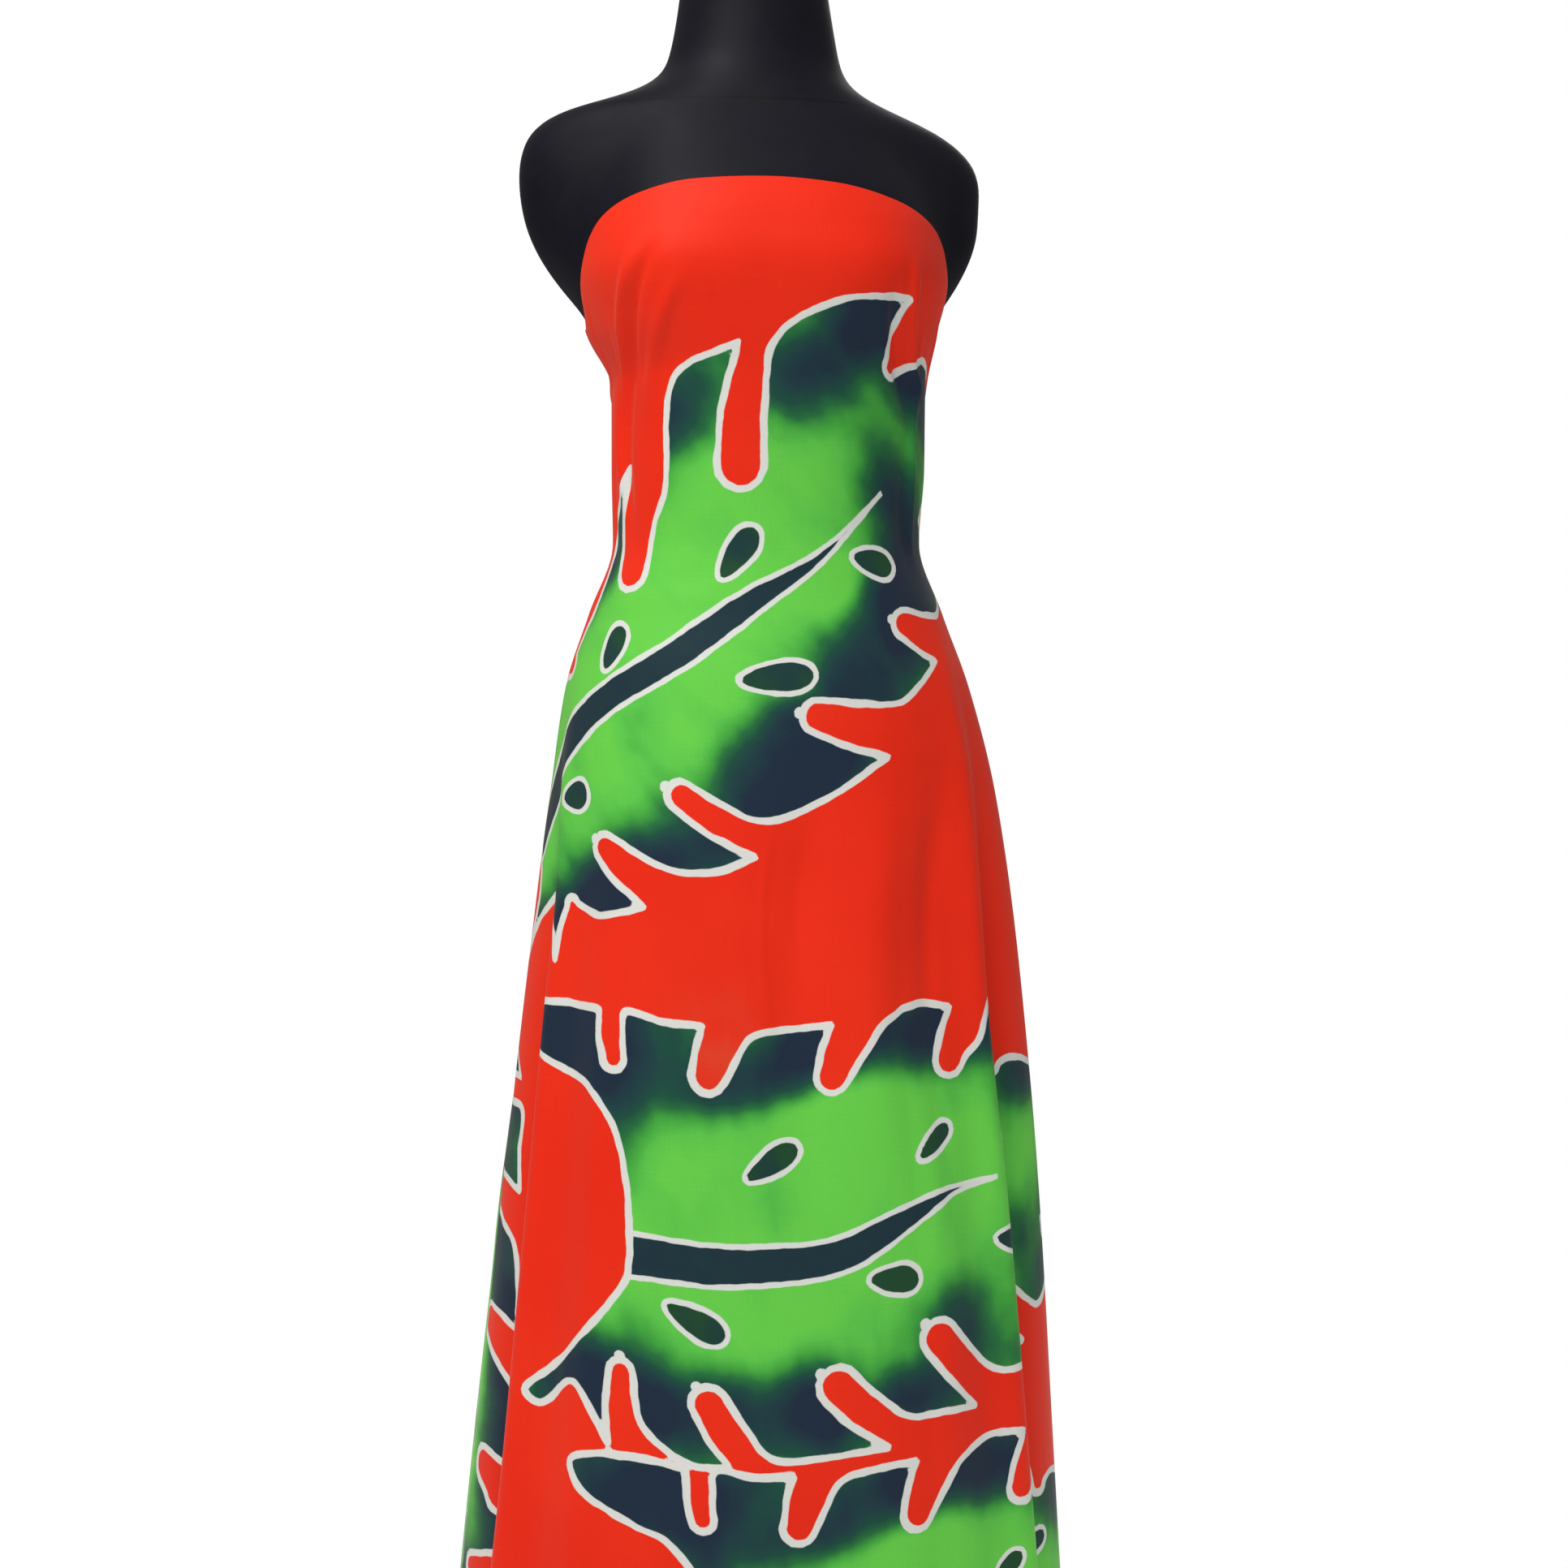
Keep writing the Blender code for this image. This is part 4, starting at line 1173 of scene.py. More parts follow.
class Shader:
    """A small writer of shader nodes, for a material or for a node group."""

    def __init__(self, tree: bpy.types.NodeTree) -> None:
        """Start on an empty tree.

        Args:
            tree: The node tree to write in.
        """
        self.tree = tree

    def add(self, kind: str, **settings: object) -> bpy.types.Node:
        """Add a node.

        Args:
            kind: Blender's name for the node type.
            settings: Properties to set on it.

        Returns:
            The node.
        """
        node = self.tree.nodes.new(kind)
        for name, value in settings.items():
            setattr(node, name, value)
        return node

    def feed(self, node: bpy.types.Node, **inputs: object) -> bpy.types.Node:
        """Set or link a node's inputs by name or number.

        Args:
            node: The node.
            inputs: Values or sockets, by name with underscores for spaces, or by number as i0, i1 and so on.

        Returns:
            The same node.
        """
        for name, value in inputs.items():
            key = int(name[1:]) if name[0] == "i" and name[1:].isdigit() else name.replace("_", " ")
            target = node.inputs[key]
            if isinstance(value, bpy.types.NodeSocket):
                self.tree.links.new(value, target)
            elif isinstance(value, tuple) and len(value) == 3 and target.type == "RGBA":
                target.default_value = (*value, 1.0)
            else:
                target.default_value = value
        return node

    def calc(self, operation: str, *values: object, clamp: bool = False) -> bpy.types.NodeSocket:
        """Do one step of arithmetic.

        Args:
            operation: Name of the math node's operation.
            values: Numbers or sockets.
            clamp: Whether the result is kept from 0 to 1.

        Returns:
            The result.
        """
        node = self.add("ShaderNodeMath", operation=operation, use_clamp=clamp)
        return self.feed(node, **{f"i{number}": value for number, value in enumerate(values)}).outputs[0]

    def step(self, value: object, low: float, high: float) -> bpy.types.NodeSocket:
        """Ease from 0 to 1 between two values, or from 1 to 0 where low is the larger.

        Args:
            value: The value.
            low: Where the result is 0.
            high: Where the result is 1.

        Returns:
            The result.
        """
        node = self.add("ShaderNodeMapRange", interpolation_type="SMOOTHSTEP")
        if low < high:
            return self.feed(node, i0=value, i1=low, i2=high, i3=0.0, i4=1.0).outputs[0]
        return self.feed(node, i0=value, i1=high, i2=low, i3=1.0, i4=0.0).outputs[0]

    def noise(
        self, vector: object, scale: float, detail: float = 2.0, rough: float = 0.5
    ) -> bpy.types.NodeSocket:
        """Read soft noise.

        Args:
            vector: Where to read it.
            scale: Its scale.
            detail: Octaves.
            rough: Weight of the finer octaves.

        Returns:
            Values near 0.5.
        """
        node = self.add("ShaderNodeTexNoise")
        return self.feed(node, Vector=vector, Scale=scale, Detail=detail, Roughness=rough).outputs["Fac"]

    def group(self, tree: bpy.types.NodeTree, **inputs: object) -> bpy.types.Node:
        """Use a node group.

        Args:
            tree: The group.
            inputs: Values or sockets by name.

        Returns:
            The group's node.
        """
        return self.feed(self.add("ShaderNodeGroup", node_tree=tree), **inputs)

    def mix(self, part: object, first: object, second: object, blend: str = "MIX") -> bpy.types.NodeSocket:
        """Mix two colours.

        Args:
            part: Share of the second.
            first: Colour or socket.
            second: Colour or socket.
            blend: Blend type.

        Returns:
            The colour.
        """
        node = self.add("ShaderNodeMix", data_type="RGBA", blend_type=blend)
        return self.feed(node, i0=part, i6=first, i7=second).outputs[2]

    def stretch(self, vector: object, scale: tuple[float, float, float]) -> bpy.types.NodeSocket:
        """Scale coordinates.

        Args:
            vector: The coordinates.
            scale: Scale along each axis.

        Returns:
            The scaled coordinates.
        """
        node = self.add("ShaderNodeMapping")
        return self.feed(node, Vector=vector, Scale=scale).outputs[0]

    def ramp(self, value: object, stops: list[tuple[float, Colour]]) -> bpy.types.NodeSocket:
        """Look colours up along a ramp.

        Args:
            value: Place on the ramp.
            stops: Places and colours.

        Returns:
            The colour.
        """
        node = self.add("ShaderNodeValToRGB")
        band = node.color_ramp
        band.interpolation = "LINEAR"
        while len(band.elements) < len(stops):
            band.elements.new(0.5)
        for element, (place, colour) in zip(band.elements, stops):
            element.position = place
            element.color = (*colour, 1.0)
        return self.feed(node, i0=value).outputs[0]


THREAD_LONG = 0.03
"""A slub thread's width as a share of its length."""


class Groups:
    """Effects that several finishes share."""

    def __init__(self) -> None:
        """Make the groups."""
        self.slub = self.make_slub()
        self.mottle = self.make_mottle()

    @staticmethod
    def start(
        name: str, inputs: dict[str, str], outputs: dict[str, str]
    ) -> tuple[Shader, bpy.types.Node, bpy.types.Node]:
        """Start a node group.

        Args:
            name: Its name.
            inputs: Names and socket types.
            outputs: Names and socket types.

        Returns:
            A writer, the input node and the output node.
        """
        tree = bpy.data.node_groups.new(name, "ShaderNodeTree")
        for label, kind in inputs.items():
            tree.interface.new_socket(name=label, in_out="INPUT", socket_type=f"NodeSocket{kind}")
        for label, kind in outputs.items():
            tree.interface.new_socket(name=label, in_out="OUTPUT", socket_type=f"NodeSocket{kind}")
        shader = Shader(tree)
        return shader, shader.add("NodeGroupInput"), shader.add("NodeGroupOutput")

    def make_slub(self) -> bpy.types.NodeTree:
        """Threads of uneven thickness along both ways of a cloth.

        Returns:
            A group that gives a value for tints and a normal.
        """
        shader, start, end = self.start(
            "thread_slub",
            {"Vector": "Vector", "Pitch": "Float", "Depth": "Float"},
            {"Tint": "Float", "Normal": "Vector"},
        )
        scaled = shader.add("ShaderNodeVectorMath", operation="SCALE")
        shader.feed(scaled, i0=start.outputs["Vector"], Scale=start.outputs["Pitch"])
        threads = [
            shader.calc("MULTIPLY", shader.noise(shader.stretch(scaled.outputs[0], scale), 1.0, 3.0), 0.5)
            for scale in ((1.0, THREAD_LONG, 1.0), (THREAD_LONG, 1.0, 1.0))
        ]
        tint = shader.calc("ADD", *threads)
        bump = shader.add("ShaderNodeBump")
        shader.feed(bump, Height=tint, Distance=start.outputs["Depth"], Strength=0.6)
        shader.feed(end, Tint=tint, Normal=bump.outputs[0])
        return shader.tree

    def make_mottle(self) -> bpy.types.NodeTree:
        """Uneven handling and dust on smooth surfaces.

        Returns:
            A group that gives a value from low to high.
        """
        shader, start, end = self.start(
            "mottle",
            {"Vector": "Vector", "Scale": "Float", "Low": "Float", "High": "Float"},
            {"Value": "Float"},
        )
        coarse = shader.add("ShaderNodeTexNoise")
        shader.feed(coarse, Vector=start.outputs["Vector"], Scale=start.outputs["Scale"], Detail=4.0)
        spread = shader.add("ShaderNodeMapRange")
        shader.feed(spread, i0=coarse.outputs["Fac"], i1=0.3, i2=0.7)
        shader.feed(spread, i3=start.outputs["Low"], i4=start.outputs["High"])
        shader.feed(end, Value=spread.outputs[0])
        return shader.tree


@dataclass(frozen=True)
class Hard:
    """A finish for hard pieces and for the form's jersey."""

    name: str
    light: Colour
    dark: Colour
    rough_low: float
    rough_high: float
    metal: float
    grain: float
    sheen: float = 0.0
    coat: float = 0.0


JERSEY = Hard("form_jersey", srgb(21, 20, 31), srgb(13, 12, 19), 0.50, 0.60, 0.0, 260.0, 0.02)
CAP = Hard("neck_cap", srgb(15, 14, 18), srgb(10, 9, 13), 0.38, 0.52, 0.0, 90.0)
METAL = Hard("stand_metal", srgb(182, 184, 188), srgb(150, 152, 157), 0.20, 0.34, 1.0, 60.0)
PEARL = Hard("pin_pearl", srgb(236, 230, 214), srgb(214, 204, 184), 0.16, 0.26, 0.0, 400.0, 0.0, 0.6)
STEEL = Hard("pin_steel", srgb(196, 197, 200), srgb(160, 161, 166), 0.22, 0.32, 1.0, 300.0)
FLOOR = Hard("pale_floor", srgb(240, 240, 240), srgb(235, 235, 235), 0.60, 0.75, 0.0, 8.0)
FLOOR_FADE = (0.26, 0.47)

SEAM_HEIGHT = 1.335
SEAM_EDGE = (0.0014, 0.0004)
SEAM_COVER = 0.7
JERSEY_PITCH = 1400.0
JERSEY_DEPTH = 0.00015
JERSEY_SPECULAR = 0.12
SHEEN_ROUGH = 0.35
"""The form's neck seam and jersey, in metres where they are lengths."""

PRINT_FIELDS = ("leaf", "rib", "rib_half", "along", "hole", "drop", "dye", "stain", "hem")
WOBBLE_SCALE = 60.0
WOBBLE_DEPTH = 0.0026
LINE_SCALE = 34.0
LINE_SPREAD = 0.0022
LINE_LEAST = 0.0018
LINE_SOFT = 0.00045
RIB_LINE = 0.75
HOLE_LINE = 0.72
DROP_EDGE = (0.0053, 0.0043)
DYE_SOFT = 0.0004
WAX_COVER = 0.97
"""The wax lines: how they waver, their half widths and soft edges, in metres."""

BLOT_SCALE = (24.0, 13.0, 1.0)
POOL_SCALE = (11.0, 9.0, 1.0)
FINE_SCALE = 60.0
DRIFT_SCALE = 4.0
BLOT_SHARE = 0.62
POOL_SHARE = 0.40
FINE_SHARE = 0.10
STAIN_EDGE = (0.20, 0.70)
HOLE_EDGE = (0.40, 0.62)
WASH = [
    (0.00, Dye.LIME.value), (0.16, Dye.GREEN.value), (0.34, Dye.LEAF.value), (0.50, Dye.MOSS.value),
    (0.66, Dye.PINE.value), (0.82, Dye.SLATE.value), (1.00, Dye.NAVY.value),
]
GROUND = [(0.30, Dye.RED_DEEP.value), (0.50, Dye.RED.value), (0.72, Dye.RED_LIGHT.value)]
"""The dye: how its blots run, how much each kind tells, and its colours from clear to dark."""

CLOTH_PITCH = 900.0
CLOTH_DEPTH = 0.00022
TINT_SPAN = 0.16
TINT_LEAST = 0.92
CLOTH_ROUGH = 0.60
CLOTH_SPECULAR = 0.16
CLOTH_SHEEN = 0.08
CLOTH_SHEEN_ROUGH = 0.50
CLOTH_SHEEN_TINT = (1.0, 0.76, 0.60)
"""The cotton's threads and its low sheen."""

STITCHES_A_METRE = 330.0
STITCH_AT = 0.0085
STITCH_EDGE = (0.0006, 0.0003)
STITCH_GAP = (0.34, 0.42)
STITCH_COVER = 0.8
"""The row of stitches along the turned edges, in metres."""


class Finishes:
    """All materials of the model."""

    def __init__(self) -> None:
        """Make the shared groups, then every material."""
        self.groups = Groups()
        self.batik = self.make_batik()
        self.jersey = self.make_hard(JERSEY, seam=True)
        self.cap = self.make_hard(CAP)
        self.metal = self.make_hard(METAL)
        self.pearl = self.make_hard(PEARL)
        self.steel = self.make_hard(STEEL)
        self.floor = self.make_floor()

    @staticmethod
    def begin(name: str) -> tuple[bpy.types.Material, Shader, bpy.types.Node, bpy.types.Node]:
        """Start a material with a Principled surface.

        Args:
            name: Its name.

        Returns:
            The material, a writer, the surface node and the output node.
        """
        material = bpy.data.materials.new(name)
        material.use_nodes = True
        material.node_tree.nodes.clear()
        shader = Shader(material.node_tree)
        surface = shader.add("ShaderNodeBsdfPrincipled")
        output = shader.add("ShaderNodeOutputMaterial")
        shader.tree.links.new(surface.outputs[0], output.inputs[0])
        return material, shader, surface, output

    def make_hard(self, look: Hard, seam: bool = False) -> bpy.types.Material:
        """Make a mottled finish.

        Args:
            look: Its values.
            seam: Whether the form's neck seam shows.

        Returns:
            The material.
        """
        material, shader, surface, _ = self.begin(look.name)
        place = shader.add("ShaderNodeTexCoord").outputs["Object"]
        scale = look.grain * 0.1
        mottle = shader.group(
            self.groups.mottle, Vector=place, Scale=scale, Low=look.rough_low, High=look.rough_high)
        tint = shader.noise(place, look.grain * 0.2, 3.0)
        colour = shader.mix(tint, look.dark, look.light)
        if seam:
            parts = shader.feed(shader.add("ShaderNodeSeparateXYZ"), Vector=place)
            height = shader.calc("SUBTRACT", parts.outputs[2], SEAM_HEIGHT)
            line = shader.step(shader.calc("ABSOLUTE", height), *SEAM_EDGE)
            colour = shader.mix(shader.calc("MULTIPLY", line, SEAM_COVER), colour, Dye.SEAM.value)
            weave = shader.group(self.groups.slub, Vector=place, Pitch=JERSEY_PITCH, Depth=JERSEY_DEPTH)
            shader.feed(surface, Normal=weave.outputs["Normal"], Specular_IOR_Level=JERSEY_SPECULAR)
        shader.feed(surface, Base_Color=colour, Roughness=mottle.outputs[0], Metallic=look.metal)
        shader.feed(surface, Sheen_Weight=look.sheen, Sheen_Roughness=SHEEN_ROUGH, Coat_Weight=look.coat)
        return material

    def make_floor(self) -> bpy.types.Material:
        """Make a pale floor that fades into the white surround.

        Returns:
            The material.
        """
        material, shader, surface, output = self.begin(FLOOR.name)
        place = shader.add("ShaderNodeTexCoord").outputs["Object"]
        mottle = shader.group(
            self.groups.mottle, Vector=place, Scale=FLOOR.grain, Low=FLOOR.rough_low, High=FLOOR.rough_high)
        colour = shader.mix(shader.noise(place, FLOOR.grain, 3.0), FLOOR.dark, FLOOR.light)
        shader.feed(surface, Base_Color=colour, Roughness=mottle.outputs[0])
        away = shader.add("ShaderNodeVectorMath", operation="LENGTH")
        shader.feed(away, i0=place)
        white = shader.add("ShaderNodeEmission")
        shader.feed(white, Color=(1.0, 1.0, 1.0), Strength=1.0)
        fade = shader.add("ShaderNodeMixShader")
        part = shader.step(away.outputs["Value"], *FLOOR_FADE)
        shader.feed(fade, i0=part, i1=surface.outputs[0], i2=white.outputs[0])
        shader.tree.links.new(fade.outputs[0], output.inputs[0])
        return material

    @staticmethod
    def attribute(shader: Shader, name: str) -> bpy.types.NodeSocket:
        """Read a named value of the mesh.

        Args:
            shader: The writer.
            name: The attribute's name.

        Returns:
            Its value.
        """
        node = shader.add("ShaderNodeAttribute", attribute_type="GEOMETRY", attribute_name=name)
        return node.outputs["Fac"]

    def make_batik(self) -> bpy.types.Material:
        """Make the wax-resist print from the distances stored on the cloth.

        Returns:
            The material.
        """
        material, shader, surface, _ = self.begin("batik_cloth")
        place = shader.add("ShaderNodeUVMap", uv_map="cloth_metres").outputs[0]
        stored = {name: self.attribute(shader, name) for name in PRINT_FIELDS}
        waver = shader.calc("SUBTRACT", shader.noise(place, WOBBLE_SCALE, 2.0), 0.5)
        wobble = shader.calc("MULTIPLY", waver, WOBBLE_DEPTH)
        half = shader.calc("MULTIPLY_ADD", shader.noise(place, LINE_SCALE, 1.0), LINE_SPREAD, LINE_LEAST)
        leaf, hole, drop = (shader.calc("ADD", stored[name], wobble) for name in ("leaf", "hole", "drop"))
        rib = shader.calc("SUBTRACT", shader.calc("ABSOLUTE", stored["rib"]), stored["rib_half"])
        rib = shader.calc("MAXIMUM", shader.calc("ADD", rib, wobble), leaf)
        wax = shader.step(drop, *DROP_EDGE)
        for away, width in ((leaf, 1.0), (rib, RIB_LINE), (hole, HOLE_LINE)):
            line_half = shader.calc("MULTIPLY", half, width)
            over = shader.calc("SUBTRACT", shader.calc("ABSOLUTE", away), line_half)
            wax = shader.calc("MAXIMUM", wax, shader.step(over, LINE_SOFT, -LINE_SOFT))
        local = shader.feed(shader.add("ShaderNodeCombineXYZ"), X=stored["along"], Y=stored["rib"])
        blots = shader.noise(shader.stretch(local.outputs[0], BLOT_SCALE), 1.0, 2.5, 0.45)
        pools = shader.noise(shader.stretch(local.outputs[0], POOL_SCALE), 1.0, 1.0, 0.4)
        fine = shader.noise(place, FINE_SCALE, 3.0, 0.6)
        dark = stored["dye"]
        for layer, share in ((blots, BLOT_SHARE), (pools, POOL_SHARE), (fine, FINE_SHARE)):
            dark = shader.calc("MULTIPLY_ADD", shader.calc("SUBTRACT", layer, 0.5), share, dark)
        stain = shader.calc("MULTIPLY", stored["stain"], shader.step(blots, *STAIN_EDGE))
        ground = shader.ramp(shader.noise(place, DRIFT_SCALE, 3.0, 0.5), GROUND)
        colour = shader.mix(stain, ground, Dye.STAIN.value)
        rib_dye = shader.mix(fine, Dye.NAVY.value, Dye.TEAL.value)
        hole_dye = shader.mix(shader.step(blots, *HOLE_EDGE), Dye.HOLE.value, Dye.TEAL.value)
        for away, inside in ((leaf, shader.ramp(dark, WASH)), (rib, rib_dye), (hole, hole_dye)):
            colour = shader.mix(shader.step(away, DYE_SOFT, -DYE_SOFT), colour, inside)
        colour = shader.mix(shader.calc("MULTIPLY", wax, WAX_COVER), colour, Dye.WAX.value)
        weave = shader.group(self.groups.slub, Vector=place, Pitch=CLOTH_PITCH, Depth=CLOTH_DEPTH)
        tint = shader.calc("MULTIPLY_ADD", weave.outputs["Tint"], TINT_SPAN, TINT_LEAST)
        colour = shader.mix(1.0, colour, tint, "MULTIPLY")
        colour = shader.mix(self.stitches(shader, place, stored["hem"]), colour, Dye.THREAD.value)
        shader.feed(surface, Base_Color=colour, Roughness=CLOTH_ROUGH, Normal=weave.outputs["Normal"])
        shader.feed(surface, Sheen_Weight=CLOTH_SHEEN, Sheen_Roughness=CLOTH_SHEEN_ROUGH)
        shader.feed(surface, Sheen_Tint=CLOTH_SHEEN_TINT, Specular_IOR_Level=CLOTH_SPECULAR)
        return material

    @staticmethod
    def stitches(shader: Shader, place: object, hem: object) -> bpy.types.NodeSocket:
        """Mark the stitches along the turned edges.

        Args:
            shader: The writer.
            place: Cloth coordinates.
            hem: Metres from the nearest turned edge.

        Returns:
            How much of the thread's colour shows.
        """
        parts = shader.feed(shader.add("ShaderNodeSeparateXYZ"), Vector=place)
        dash = shader.calc("FRACT", shader.calc("MULTIPLY", parts.outputs[0], STITCHES_A_METRE))
        away = shader.calc("ABSOLUTE", shader.calc("SUBTRACT", hem, STITCH_AT))
        stitch = shader.calc("MULTIPLY", shader.step(away, *STITCH_EDGE), shader.step(dash, *STITCH_GAP))
        return shader.calc("MULTIPLY", stitch, STITCH_COVER)


# pieces


@dataclass(frozen=True)
class StretchCut:
    """One stretch of the cloth: its columns, its cut size, and what a fold takes in before it, in metres."""

    name: str
    first: int
    last: int
    width: float
    length: float
    area: float
    tuck: float


@dataclass(frozen=True)
class Turning:
    """A turned edge: the radius of its roll and how deep the cloth goes on inside."""

    radius: float
    depth: float
    steps: int = 6
    inside: int = 3


TOP_TURN = Turning(0.0011, 0.012)
HEM_TURN = Turning(0.0007, 0.008)
EDGE_TURN = Turning(0.0006, 0.008)
TUCK_FROM = 0.66
TUCK_RUN = 0.09
"""Where a side fold starts to take cloth in, down from the top, and over how far, in metres."""


@dataclass
class Stretch:
    """A fine sheet of the wound cloth."""

    cut: StretchCut
    wrap: Wrap
    print_fields: dict[str, np.ndarray]

    @staticmethod
    def roll(
        edge: np.ndarray, inner: np.ndarray, out: np.ndarray, turn: Turning
    ) -> tuple[np.ndarray, np.ndarray]:
        """Roll an edge inwards.

        Args:
            edge: Points of the edge.
            inner: Their neighbours inside the cloth.
            out: Outward normals at the edge.
            turn: Sizes of the roll.

        Returns:
            The new points, from the edge on, and how far along the cloth each lies.
        """
        way = edge - inner
        way = way - out * np.sum(way * out, axis=1, keepdims=True)
        way = way / np.linalg.norm(way, axis=1, keepdims=True)
        rows, runs = [], []
        for count in range(1, turn.steps + 1):
            angle = math.pi * count / turn.steps
            ahead, inward = turn.radius * math.sin(angle), turn.radius * (1 - math.cos(angle))
            rows.append(edge + way * ahead - out * inward)
            runs.append(turn.radius * angle)
        for count in range(1, turn.inside + 1):
            deep = turn.depth * count / turn.inside
            rows.append(rows[turn.steps - 1] - way * deep)
            runs.append(turn.radius * math.pi + deep)
        return np.array(rows), np.array(runs)

    def build(self, material: bpy.types.Material) -> bpy.types.Object:
        """Make the sheet's mesh.

        Args:
            material: Its finish.

        Returns:
            The sheet.
        """
        part = slice(self.cut.first, self.cut.last + 1)
        cloth, normals = self.wrap.points[:, part], self.wrap.normals[:, part]
        u, v = self.wrap.u[:, part], self.wrap.v[:, part]
        top, top_runs = self.roll(cloth[0], cloth[1], normals[0], TOP_TURN)
        low, low_runs = self.roll(cloth[-1], cloth[-2], normals[-1], HEM_TURN)
        points = np.concatenate([top[::-1], cloth, low])
        above, below = len(top), len(low)
        pad = ((above, below), (0, 0))
        down = np.concatenate([v[:1] - top_runs[::-1, None], v, v[-1:] + low_runs[:, None]])
        hem = np.abs(v[-1:] - down)
        v = down
        u = np.pad(u, pad, mode="edge")
        fields = {name: np.pad(values, pad, mode="edge") for name, values in self.print_fields.items()}
        frames = Wrap.frames(points)
        frames[above:above + len(cloth)] = normals
        if self.cut.first == 0:
            side, side_runs = self.roll(points[:, 0], points[:, 1], frames[:, 0], EDGE_TURN)
            side = side[::-1].transpose(1, 0, 2)
            hem = np.minimum(hem, u - u[:, :1])
            before = len(side_runs)
            hem = np.concatenate([np.broadcast_to(side_runs[::-1], (len(u), before)), hem], axis=1)
            pad = ((0, 0), (before, 0))
            v = np.pad(v, pad, mode="edge")
            u = np.concatenate([u[:, :1] - side_runs[::-1], u], axis=1)
            fields = {name: np.pad(values, pad, mode="edge") for name, values in fields.items()}
            points = np.concatenate([side, points], axis=1)
            rolled = Wrap.frames(points)
            rolled[:, before:] = frames
            frames = rolled
        fields["hem"] = hem
        rows, columns = u.shape
        first = np.arange(rows - 1)[:, None] * columns + np.arange(columns - 1)[None, :]
        faces = np.stack([first, first + columns, first + columns + 1, first + 1], axis=-1).reshape(-1, 4)
        mesh = bpy.data.meshes.new(self.cut.name)
        mesh.from_pydata(points.reshape(-1, 3).tolist(), [], faces.tolist())
        layer = mesh.uv_layers.new(name="cloth_metres")
        places = np.stack([u.ravel(), v.ravel()], axis=-1)
        layer.data.foreach_set("uv", places[faces.ravel()].astype(np.float32).ravel())
        for name, values in fields.items():
            stored = mesh.attributes.new(name, "FLOAT", "POINT")
            stored.data.foreach_set("value", values.astype(np.float32).ravel())
        mesh.materials.append(material)
        mesh.validate()
        piece = bpy.data.objects.new(self.cut.name, mesh)
        bpy.context.scene.collection.objects.link(piece)
        mesh.shade_smooth()
        mesh.normals_split_custom_set_from_vertices(frames.reshape(-1, 3).tolist())
        cells = np.diff(u, axis=1)[:-1] * np.diff(v, axis=0)[:, :-1]
        LOG.info("%s: %d faces, %.3f m2, widths %.3f to %.3f m, length %.3f m", self.cut.name, len(faces),
                 float(np.abs(cells).sum()), float(np.ptp(u[0])), float(np.ptp(u[-1])), float(np.ptp(v)))
        return piece


SHARP_ANGLE = math.radians(40.0)
SMOOTH_ANGLE = math.radians(35.0)
JOIN_ANGLE = math.radians(60.0)
CREASE_ANGLE = math.radians(55.0)
MERGE_GAP = 0.00001
"""Angles and the gap by which hard pieces are bevelled, smoothed, joined and creased."""

STAND_BEVELS = (("stand_base", 0.0022), ("stand_flange", 0.0012), ("stand_pole", 0.0006))
HUB_BEVEL = 0.0012
HUB_FOOT = 0.30
HUB_NARROW = 0.6
UPWARD = 0.9
CAP_BEVEL = 0.0050
"""Bevels in metres, the hub's straight foot and narrowing, and how far a top face may lean."""

PIN_BALL = 0.0023
PIN_RADIUS = 0.0005
PIN_END = 0.00008
PIN_POINT = 0.003
PIN_START = 0.0040
"""A pin's ball, shaft and point, in metres."""


class Workshop:
    """Small helpers round bpy.ops for the hard pieces."""

    @staticmethod
    def only(piece: bpy.types.Object) -> None:
        """Make one object the sole selected and active one.

        Args:
            piece: The object.
        """
        bpy.ops.object.select_all(action="DESELECT")
        piece.select_set(True)
        bpy.context.view_layer.objects.active = piece

    @classmethod
    def settle(cls, piece: bpy.types.Object, name: str, material: bpy.types.Material) -> bpy.types.Object:
        """Name a finished piece, bake its place in and give it its finish.

        Args:
            piece: The object.
            name: Its name.
            material: Its finish.

        Returns:
            The same object.
        """
        cls.only(piece)
        bpy.ops.object.transform_apply(location=True, rotation=True, scale=True)
        piece.name = name
        piece.data.name = name
        if not piece.data.materials:
            piece.data.materials.append(material)
        LOG.info("%s: %d faces", name, len(piece.data.polygons))
        return piece

    @classmethod
    def bevel(cls, piece: bpy.types.Object, width: float, segments: int = 3) -> None:
        """Round a piece's sharp edges and smooth it by angle.

        Args:
            piece: The object.
            width: Bevel width in metres.
            segments: Steps of the bevel.
        """
        cls.only(piece)
        bpy.ops.object.modifier_add(type="BEVEL")
        modifier = piece.modifiers[-1]
        modifier.width = width
        modifier.segments = segments
        modifier.limit_method = "ANGLE"
        modifier.angle_limit = SHARP_ANGLE
        bpy.ops.object.modifier_apply(modifier=modifier.name)
        bpy.ops.object.shade_smooth_by_angle(angle=SMOOTH_ANGLE)

    @classmethod
    def drum(cls, low: float, high: float, radius: float, sides: int, width: float) -> bpy.types.Object:
        """Stand a bevelled cylinder on the pole's axis.

        Args:
            low: Height of its underside.
            high: Height of its top.
            radius: Its radius.
            sides: Its sides.
            width: Bevel width.

        Returns:
            The cylinder.
        """
        bpy.ops.mesh.primitive_cylinder_add(vertices=sides, radius=radius, depth=high - low,
                                            location=(0.0, 0.0, 0.5 * (low + high)))
        piece = bpy.context.object
        cls.bevel(piece, width)
        return piece


